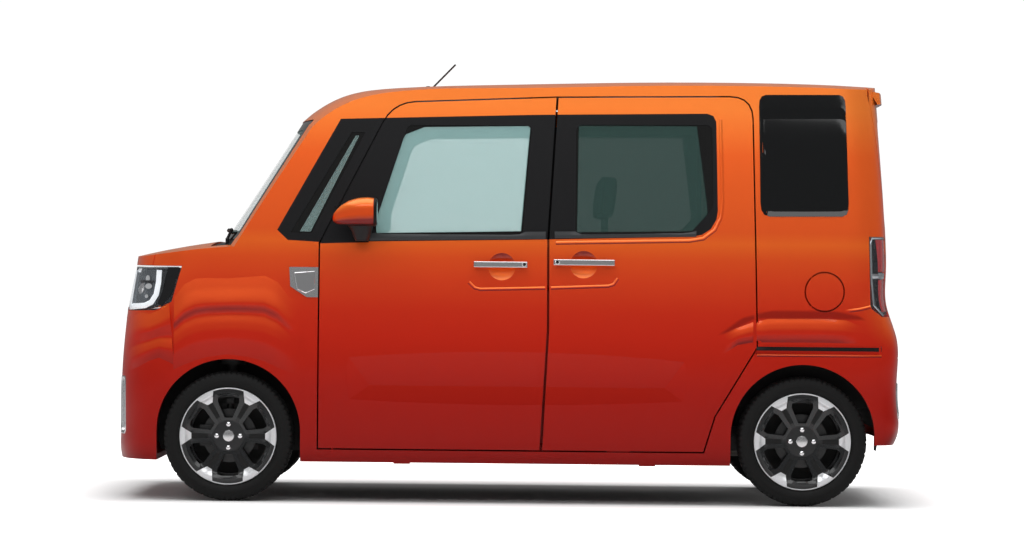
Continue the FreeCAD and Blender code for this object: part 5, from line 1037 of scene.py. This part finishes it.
patch("bumper lamp bezel", closed(box_line(0.424, 0.276, 0.551, 0.526, 0.012)),
      closed(box_line(0.438, 0.290, 0.537, 0.512, 0.008)), bright_trim, "body", bumper_skin, "front",
      lifts=(0.0, 0.006, 0.002), depth=0.010)
patch("bumper lamp back", [(0.436, 0.288), (0.539, 0.288)], [(0.436, 0.514), (0.539, 0.514)], housing, "body",
      bumper_skin, "front", lifts=(-0.020, -0.020), depth=0.024)
disc("bumper lamp dish", (0.4875, 0.345), 0.040, 0.040, chrome, "body", bumper_skin, view="front",
     lifts=(-0.012, -0.018, -0.012), depth=0.020)
disc("bumper lamp glass", (0.4875, 0.345), 0.024, 0.024, mirror_bright, "body", bumper_skin, view="front",
     lifts=(-0.011, -0.006, -0.011), depth=0.018)
for level in range(LIGHT_ROWS):
    low = 0.405 + LIGHT_PITCH * level
    patch("bumper lamp light", [(0.450, low), (0.525, low)],
          [(0.450, low + LIGHT_HEIGHT), (0.525, low + LIGHT_HEIGHT)],
          lamp_white, "body", bumper_skin, "front", lifts=(-0.010, -0.010), depth=0.016)
patch("rear reflector bezel", closed(box_line(0.520, 0.372, 0.594, 0.530, 0.010)),
      closed(box_line(0.530, 0.382, 0.584, 0.520, 0.006)), bright_trim, "body", rear_skin, "rear",
      lifts=(0.0, 0.005, 0.003), depth=0.006)
patch("rear reflector", [(0.529, 0.381), (0.585, 0.381)], [(0.529, 0.521), (0.585, 0.521)], lamp_red, "body",
      rear_skin, "rear", lifts=(0.003, 0.003), depth=0.004)
print("bumper lamps and reflectors are on")

# %% [markdown]
# Each door handle has a small lock: a black button in a bright ring. Both are oval patches on the
# handle's own skin, the button lifted a little above the ring.

# %% Locks in the handles
LOCK_RING, LOCK_BUTTON = 0.0095, 0.0072
handle_skin = skin_of("front_door_handle_left", "rear_door_handles")
for name, centre, body in (("front lock", (-0.066, 1.0235), "front_door_left"),
                           ("rear lock", (-0.207, 1.0355), "body")):
    disc(name + " edge", centre, LOCK_RING, LOCK_RING, mirror_bright, body, handle_skin,
         lifts=(0.0, 0.0012, 0.0), rows=6)
    disc(name, centre, LOCK_BUTTON, LOCK_BUTTON, black_gloss, body, handle_skin,
         lifts=(0.0006, 0.0018, 0.0006), rows=6)
print("lock pieces:", count_of("front_lock") + count_of("rear_lock"))

# %% [markdown]
# A door mirror is a rounded shell that swells towards its glass. Sculpting could shape it, but a
# few rounded boxes, one behind the other, give the same form with numbers that can be read. Its
# height and reach come from the box of the plain mirror that it stands for.

# %% The form of a mirror
mirror = nodes["mirror_left"]
corners = [mirror.matrix_world @ Vector(corner) for corner in mirror.bound_box]
mirror_low = [min(corner[axis] for corner in corners) for axis in range(3)]
mirror_high = [max(corner[axis] for corner in corners) for axis in range(3)]
print("mirror box:", [round(value, 3) for value in mirror_low + mirror_high])


def hull(rings, steps=32, power=3.2):
    """A closed form through rounded boxes: each ring is a place and the low and high corners there."""
    points, faces = [], []
    for place, (y0, z0), (y1, z1) in rings:
        for step in range(steps):
            turn = 2 * math.pi * step / steps
            across, up = math.cos(turn), math.sin(turn)
            reach = (abs(across) ** power + abs(up) ** power) ** (-1 / power)
            points.append((place, (y0 + y1) / 2 + across * reach * (y1 - y0) / 2,
                           (z0 + z1) / 2 + up * reach * (z1 - z0) / 2))
    for ring in range(len(rings) - 1):
        for step in range(steps):
            after = (step + 1) % steps
            low, high = ring * steps, (ring + 1) * steps
            faces.append((low + step, low + after, high + after, high + step))
    faces.append(tuple(range(steps)))
    faces.append(tuple(range((len(rings) - 1) * steps, len(rings) * steps)))
    return points, faces


print("hulls can be made")

# %% [markdown]
# The mirror's shell, its foot and its glass are three such hulls, made for the left door and
# mirrored for the right one. They stand for the plain mirrors of the model.

# %% The mirrors' pieces
def both_doors(name, points, faces, finish, **more):
    """A piece on the left door and its twin on the right one."""
    flipped = [(x, -y, z) for x, y, z in points]
    left = piece(name + " left", points, faces, finish, "front_door_left", **more)
    right = piece(name + " right", flipped, faces, finish, "front_door_right", **more)
    return left, right


FOOT_ROOM = 0.050
FOOT_REACH, FOOT_SPREAD = 0.085, 0.05
inner, outer = mirror_low[1] + FOOT_ROOM, mirror_high[1]
shell = [(0.5600, (0.012, 1.192), (-0.012, 1.289)), (0.5620, (0.004, 1.184), (-0.004, 1.296)),
         (0.5700, (0.0, 1.179), (0.0, 1.300)), (0.5740, (0.0, 1.178), (0.0, 1.301)),
         (0.5760, (0.003, 1.181), (-0.003, 1.299)), (0.6000, (0.002, 1.179), (-0.002, 1.302)),
         (0.6400, (0.004, 1.179), (-0.006, 1.299)), (0.6800, (0.010, 1.181), (-0.018, 1.287)),
         (0.7100, (0.020, 1.184), (-0.034, 1.270)), (0.7320, (0.034, 1.189), (-0.054, 1.250)),
         (0.7450, (0.052, 1.197), (-0.074, 1.232)), (0.7490, (0.064, 1.205), (-0.084, 1.222))]
shell_points, shell_faces = hull([(x, (inner + dy0, z0), (outer + dy1, z1))
                                  for x, (dy0, z0), (dy1, z1) in shell])
shells = both_doors("mirror shell", shell_points, shell_faces, mirror_paint_and_painted_light, angle=50)
for side, made in zip(("left", "right"), shells):
    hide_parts("mirror_" + side)
foot = [(0.600, 0.655, 1.118), (0.592, 0.664, 1.135), (0.585, 0.672, 1.160), (0.580, 0.690, 1.186)]
foot_low, foot_high = foot[0][2], foot[-1][2]
foot_rings = []
for x0, x1, z in foot:
    reach = FOOT_REACH + FOOT_SPREAD * (z - foot_low) / (foot_high - foot_low)
    foot_rings.append((z, (x0, mirror_low[1]), (x1, mirror_low[1] + reach)))
foot_points, foot_faces = hull(foot_rings)
foot_points = [(across, up, place) for place, across, up in foot_points]
both_doors("mirror foot", foot_points, foot_faces, black_satin)
face = hull([(0.5592, (inner + 0.018, 1.198), (outer - 0.018, 1.284)),
             (0.5600, (inner + 0.014, 1.194), (outer - 0.014, 1.287))])
both_doors("mirror glass", *face, mirror_bright)
print("mirror pieces:", count_of("mirror_shell") + count_of("mirror_foot") + count_of("mirror_glass"))

# %% [markdown]
# On each front wing sits a five-sided trim: a bright bezel round a grey plate. It stays bare. The
# plate and the bezel are patches, the bezel the highest, so that its edge catches the light.

# %% Wing trims
trim_skin = skin_of("wing_garnishes")
trim_black = plain("trim insert", (0.02, 0.02, 0.022), 0.3)
trim_grey = plain("trim plate", (0.42, 0.42, 0.43), 0.3, 0.9)
insert = [(0.914, 0.978), (0.830, 0.985), (0.829, 0.910), (0.867, 0.893), (0.900, 0.909)]
patch("wing trim recess", [insert[3], insert[2]], [insert[4], insert[2]], trim_black, "body", trim_skin,
      lifts=(0.0006, 0.0006), depth=0.001)
patch("wing trim insert",
      [(0.829, 0.912), (0.867, 0.895), (0.902, 0.911)], [(0.830, 0.984), (0.867, 0.981), (0.912, 0.977)],
      trim_grey, "body", trim_skin, lifts=(0.0010, 0.0010), depth=0.001)
patch("wing trim rim", *strip(closed(insert), 0.005), mirror_bright, "body", trim_skin,
      lifts=(0.0, 0.0022, 0.0), depth=0.001, longest=0.01)
print("wing trim pieces:", count_of("wing_trim"))

# %% [markdown]
# Each licence plate is blank. It hangs on two bolts with round heads, and its edge is pressed up
# all round.

# %% Plate bolts and rims
plate_skin = skin_of("licence_plates")
HALF_PLATE = (0.1640, 0.0815)
EDGE_WIDTH = 0.0065
BOLT_PLACE, BOLT_RADIUS = 0.105, 0.0095
for view, height in (("front", 0.620), ("rear", 0.450)):
    for across in (-BOLT_PLACE, BOLT_PLACE):
        disc(f"{view} plate bolt", (across, height), BOLT_RADIUS, BOLT_RADIUS, mirror_bright, "body",
             plate_skin, view=view, lifts=(0.0, 0.0028, 0.0035, 0.0028, 0.0), rows=8, twin=False)
    wide, tall = HALF_PLATE
    edge = box_line(-wide, height - tall, wide, height + tall)
    wide, tall = wide - EDGE_WIDTH, tall - EDGE_WIDTH
    field = box_line(-wide, height - tall, wide, height + tall)
    patch(f"{view} plate rim", closed(edge), closed(field), plate_white, "body", plate_skin, view,
          lifts=(0.0, 0.0018, 0.0), depth=0.001, twin=False)
print("plates are fixed")

# %% [markdown]
# Over each wheel the body swells in a soft shoulder that catches the light, with a dark hollow above it; over
# and just ahead of the rear wheel that dark band is painted shade in the lacquer. The whole swelling is one
# patch with many rows: its lifts are read from a short list of heights, as a modeller would cut a template,
# and it fades out towards the door.

# %% Shoulders over the wheels
def profile(stops, count=31):
    """Evenly spaced lifts from a list of (share, lift)."""
    lifts = []
    for step in range(count):
        share = step / (count - 1)
        for (a, low), (b, high) in zip(stops, stops[1:]):
            if share <= b:
                lifts.append(low + (high - low) * (share - a) / (b - a))
                break
    return tuple(lifts)


SWELL = profile([(0, 0), (0.10, 0.0040), (0.22, 0.0085), (0.33, 0.0085), (0.44, 0.0055), (0.52, 0.0014),
                 (0.54, 0.0008), (0.56, 0.0014), (0.64, 0.0105), (0.67, 0.0112), (0.72, 0.0100),
                 (0.86, 0.0040), (1, 0)])
BUMPER_SWELL = profile([(0, 0), (0.12, 0.0060), (0.22, 0.0095), (0.34, 0.0050), (0.41, 0.0010),
                        (0.43, 0.0010), (0.64, 0.0100), (0.72, 0.0100), (0.88, 0.0040), (1, 0)])
REAR_SWELL = profile([(0, 0), (0.15, 0.0045), (0.35, 0.0075), (0.55, 0.0072), (0.80, 0.0040), (1, 0)], 15)
patch("wing shoulder",
      [(1.428, 0.560), (1.385, 0.580), (1.337, 0.600), (1.287, 0.615), (1.200, 0.628), (1.110, 0.618),
       (1.040, 0.600), (0.985, 0.575), (0.935, 0.555), (0.885, 0.540)],
      [(1.428, 0.868), (1.385, 0.925), (1.337, 0.950), (1.287, 0.953), (1.200, 0.952), (1.110, 0.959),
       (1.040, 0.965), (0.985, 0.938), (0.935, 0.872), (0.885, 0.862)],
      body_paint_and_painted_light, "body", side_skin, lifts=SWELL, rows=30, longest=0.02, depth=0.001, fade=(0.0, 0.25))
patch("bumper shoulder",
      [(1.424, 0.580), (1.490, 0.610), (1.537, 0.595), (1.580, 0.570), (1.624, 0.550), (1.655, 0.530)],
      [(1.452, 0.862), (1.490, 0.815), (1.537, 0.797), (1.580, 0.803), (1.624, 0.788), (1.655, 0.749)],
      body_paint_and_painted_light, "body", side_skin, lifts=BUMPER_SWELL, rows=30, longest=0.02, depth=0.001, fade=(0.0, 0.25))
patch("rear shoulder",
      [(-1.062, 0.702), (-1.160, 0.702), (-1.262, 0.703), (-1.360, 0.703), (-1.440, 0.701), (-1.520, 0.701)],
      [(-1.062, 0.790), (-1.110, 0.803), (-1.262, 0.805), (-1.360, 0.805), (-1.440, 0.800), (-1.520, 0.770)],
      body_paint_and_painted_light, "body", side_skin, lifts=REAR_SWELL, rows=14, longest=0.02, depth=0.001, fade=(0.0, 0.3))
patch("door shoulder",
      [(-0.905, 0.640), (-0.980, 0.690), (-1.046, 0.702)],
      [(-0.905, 0.730), (-0.980, 0.764), (-1.046, 0.788)],
      body_paint_and_painted_light, "body", side_skin, lifts=REAR_SWELL, rows=14, longest=0.02, depth=0.001, fade=(0.7, 0.0))

# %% [markdown]
# The sliding door hangs on a rail in the rear wing. What shows of it is a slot with a thin lip under it; a
# black strip laid in the slot is painted shade. A soft line runs to the tail lamp, and a bead frames the rear
# door's window.

# %% Rail slot and pressed lines
wing_line = [(-1.440, 0.838), (-1.500, 0.846), (-1.566, 0.862)]
patch("rear wing line", *strip(wing_line, 0.014), body_paint_and_painted_light, "body", side_skin, lifts=RIDGE, rows=6,
      longest=0.015, depth=0.001, fade=(0.3, 0.1))
bead_line = [(-0.902, 1.655), (-0.912, 1.300), (-0.906, 1.235), (-0.880, 1.180), (-0.830, 1.142),
             (-0.770, 1.132), (-0.200, 1.118)]
patch("window bead", *strip(bead_line, 0.016), body_paint_and_painted_light, "body", side_skin, lifts=RIDGE, rows=6,
      longest=0.02, depth=0.001)
# Black strip in the rail slot: painted shade of the opening.
patch("rail channel", [(-1.062, 0.667), (-1.596, 0.667)], [(-1.062, 0.689), (-1.596, 0.689)],
      black_gloss, "body", side_skin, lifts=(0.001, 0.001), depth=0.001)
patch("rail lip", [(-1.062, 0.641), (-1.596, 0.641)], [(-1.062, 0.653), (-1.596, 0.653)], body_paint_and_painted_light,
      "body", side_skin, lifts=(0.0, 0.0030, 0.0010), rows=4, depth=0.001)
print("rail pieces:", count_of("rail_"))

# %% [markdown]
# The rearmost side window is a dark pane laid over its whole frame, with rounded corners. The
# front door's seal is a black strip deep in the gap ahead of the door.

# %% Quarter panes and door seals
quarter_skin = skin_of("side_frame_left", "quarter_glass_rear")
patch("quarter pane",
      [(-1.074, 1.300), (-1.078, 1.268), (-1.091, 1.248), (-1.115, 1.240), (-1.425, 1.243), (-1.443, 1.252),
       (-1.450, 1.270), (-1.452, 1.300)],
      [(-1.068, 1.715), (-1.070, 1.742), (-1.079, 1.757), (-1.096, 1.764), (-1.412, 1.767), (-1.428, 1.760),
       (-1.437, 1.744), (-1.440, 1.715)],
      dark_glass, "body", quarter_skin, lifts=(0.0022, 0.0022), rows=30, longest=0.02, depth=0.001)
seal_skin = skin_of("side_frame_left", "front_door_left", "front_door_glass_left")
seal_line = [(0.800, 1.080), (0.795, 1.140), (0.745, 1.230), (0.523, 1.655)]
patch("door seal", *strip(seal_line, 0.045), black_satin, "body", seal_skin, lifts=(-0.020, -0.020),
      depth=0.023)
print("panes and seals:", count_of("quarter_pane") + count_of("door_seal"))

# %% [markdown]
# Behind the open wheels stand round plates, which keep the road's dirt off the brakes. They don't
# turn with the wheel: the front ones steer with the knuckles, the rear ones stay with the body.

# %% Brake plates
plate_black = plain("brake plate", (0.006, 0.006, 0.006), 0.7)
plate_points, plate_faces = lathe([(-0.050, 0.035), (-0.052, 0.120), (-0.055, 0.168), (-0.062, 0.173),
                                   (-0.064, 0.173), (-0.064, 0.168), (-0.056, 0.120), (-0.053, 0.035),
                                   (-0.050, 0.035)], 72)
for name, x, y, side in WHEELS:
    carrier = name.replace("front", "knuckle") if name.startswith("front") else "body"
    placed = moved(plate_points, wheel_place(x, y, side))
    piece("brake plate " + name, placed, plate_faces, plate_black, carrier)
print("brake plates:", count_of("brake_plate"))

# %% [markdown]
# A seat cushion is foam under cloth: full in the middle, pulled in between its corners, and sewn
# down along its channels. A cloth simulation could blow it up. Here the shapes are coded, because
# the seats show only through glass: a rounded block is crowned, and its seams are sunk in.

# %% One cushion
seat_cloth = plain("seat cloth", (0.030, 0.030, 0.033), 0.9)
SIDES = ((0, 1, 2), (1, 2, 0), (2, 0, 1))
CUSHION_STEPS = 26
SQUARENESS = 7.0
CROWN = 0.16
PULL_IN = 0.05
CHANNEL_DEPTH, CHANNEL_WIDTH, CROSS_WIDTH = 0.14, 0.045, 0.035
SEAM_DEPTH, SEAM_HEIGHT, SEAM_WIDTH = 0.03, 0.45, 0.10


def dip(value, place, width):
    """1 at a place and softly down to 0 away from it."""
    return math.exp(-((value - place) / width) ** 2)


def cushion_spot(u, v, w, half, channels, cross):
    """Where a point of the rounded block goes on the cushion: along, across and out."""
    sunk = max([0.0] + [dip(v, place, CHANNEL_WIDTH) for place in channels]
               + [dip(u, place, CROSS_WIDTH) for place in cross])
    seam = 1 - SEAM_DEPTH * dip(w, SEAM_HEIGHT, SEAM_WIDTH)
    crown = 1 - CROWN + CROWN * (1 - u * u) * (1 - v * v)
    out = w * crown - CHANNEL_DEPTH * sunk * max(w, 0) ** 4
    along = u * (1 - PULL_IN * (1 - v * v)) * seam
    across = v * (1 - PULL_IN * (1 - u * u)) * seam
    return along * half[0], across * half[1], out * half[2]


def cushion(name, centre, half, turn, channels=(-0.5, 0.5), cross=(0.1,)):
    """A crowned closed cushion. turn is the angle of its length against the car's, in degrees."""
    points, faces = [], []
    forward, up = math.cos(math.radians(turn)), math.sin(math.radians(turn))
    width = CUSHION_STEPS + 1
    for first, second, third in SIDES:
        for side in (-1, 1):
            start = len(points)
            for row in range(width):
                for column in range(width):
                    spot = [0.0, 0.0, 0.0]
                    spot[first] = 2 * row / CUSHION_STEPS - 1
                    spot[second] = side * (2 * column / CUSHION_STEPS - 1)
                    spot[third] = side
                    reach = sum(abs(value) ** SQUARENESS for value in spot) ** (-1 / SQUARENESS)
                    u, v, w = (value * reach for value in spot)
                    along, across, out = cushion_spot(u, v, w, half, channels, cross)
                    points.append((centre[0] + along * forward - out * up, centre[1] + across,
                                   centre[2] + along * up + out * forward))
            for row in range(CUSHION_STEPS):
                for column in range(CUSHION_STEPS):
                    corner = start + row * width + column
                    faces.append((corner, corner + width, corner + width + 1, corner + 1))
    made = piece(name, points, faces, seat_cloth, "body", angle=60)
    return made


print("one cushion has", len(SIDES) * 2 * CUSHION_STEPS ** 2, "faces")

# %% [markdown]
# In front stand two seats with head rests, behind them a bench in two halves. The cushions lie on
# hard bases and lean as the plain seats did, whose lowest points the bases reach.

# %% Seats
seat_edge = plain("seat base", (0.015, 0.015, 0.016), 0.6)
SEAT_PLACE, SEAT_BASE = 0.320, 0.215
POST_PLACE, POST_RADIUS = 0.07, 0.006
BENCH_HALF = 0.248
BENCH_PLACE = 0.251
BENCH_BASE = 0.478
CUSHION_LEAN, BENCH_LEAN = 4.4, 4.8
BACK_LEAN, BENCH_BACK_LEAN, REST_LEAN = -74.9, -71.9, -84.0


def lowest(name):
    """The height of a node's lowest point."""
    return min((nodes[name].matrix_world @ vertex.co).z for vertex in nodes[name].data.vertices)


fronts = []
for side, y in (("left", SEAT_PLACE), ("right", -SEAT_PLACE)):
    cushion("front seat cushion " + side, (0.072, y, 0.503), (0.252, 0.238, 0.076), CUSHION_LEAN)
    cushion("front seat back " + side, (-0.336, y, 0.866), (0.310, 0.236, 0.062), BACK_LEAN,
            cross=(-0.45, 0.35))
    cushion("front head rest " + side, (-0.425, y, 1.325), (0.090, 0.120, 0.042), REST_LEAN, (), ())
    fronts.append(block((-0.160, y - SEAT_BASE, lowest("front_seats")), (0.300, y + SEAT_BASE, 0.440)))
    for post in (y - POST_PLACE, y + POST_PLACE):
        fronts.append(block((-0.425 - POST_RADIUS, post - POST_RADIUS, 1.140),
                            (-0.425 + POST_RADIUS, post + POST_RADIUS, 1.250)))
base = piece("front seat bases", *collect(fronts), seat_edge, "body", smooth=False)
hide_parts("front_seats")
for side, y in (("left", BENCH_PLACE), ("right", -BENCH_PLACE)):
    cushion("rear seat cushion " + side, (-0.930, y, 0.545), (0.235, BENCH_HALF, 0.078), BENCH_LEAN)
    cushion("rear seat back " + side, (-1.315, y, 0.848), (0.262, BENCH_HALF, 0.062), BENCH_BACK_LEAN,
            cross=(-0.4,))
base = piece("rear seat base", *block((-1.150, -BENCH_BASE, lowest("rear_seat")),
                                      (-0.940, BENCH_BASE, 0.480)), seat_edge, "body", smooth=False)
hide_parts("rear_seat")
print("seats have their cushions")
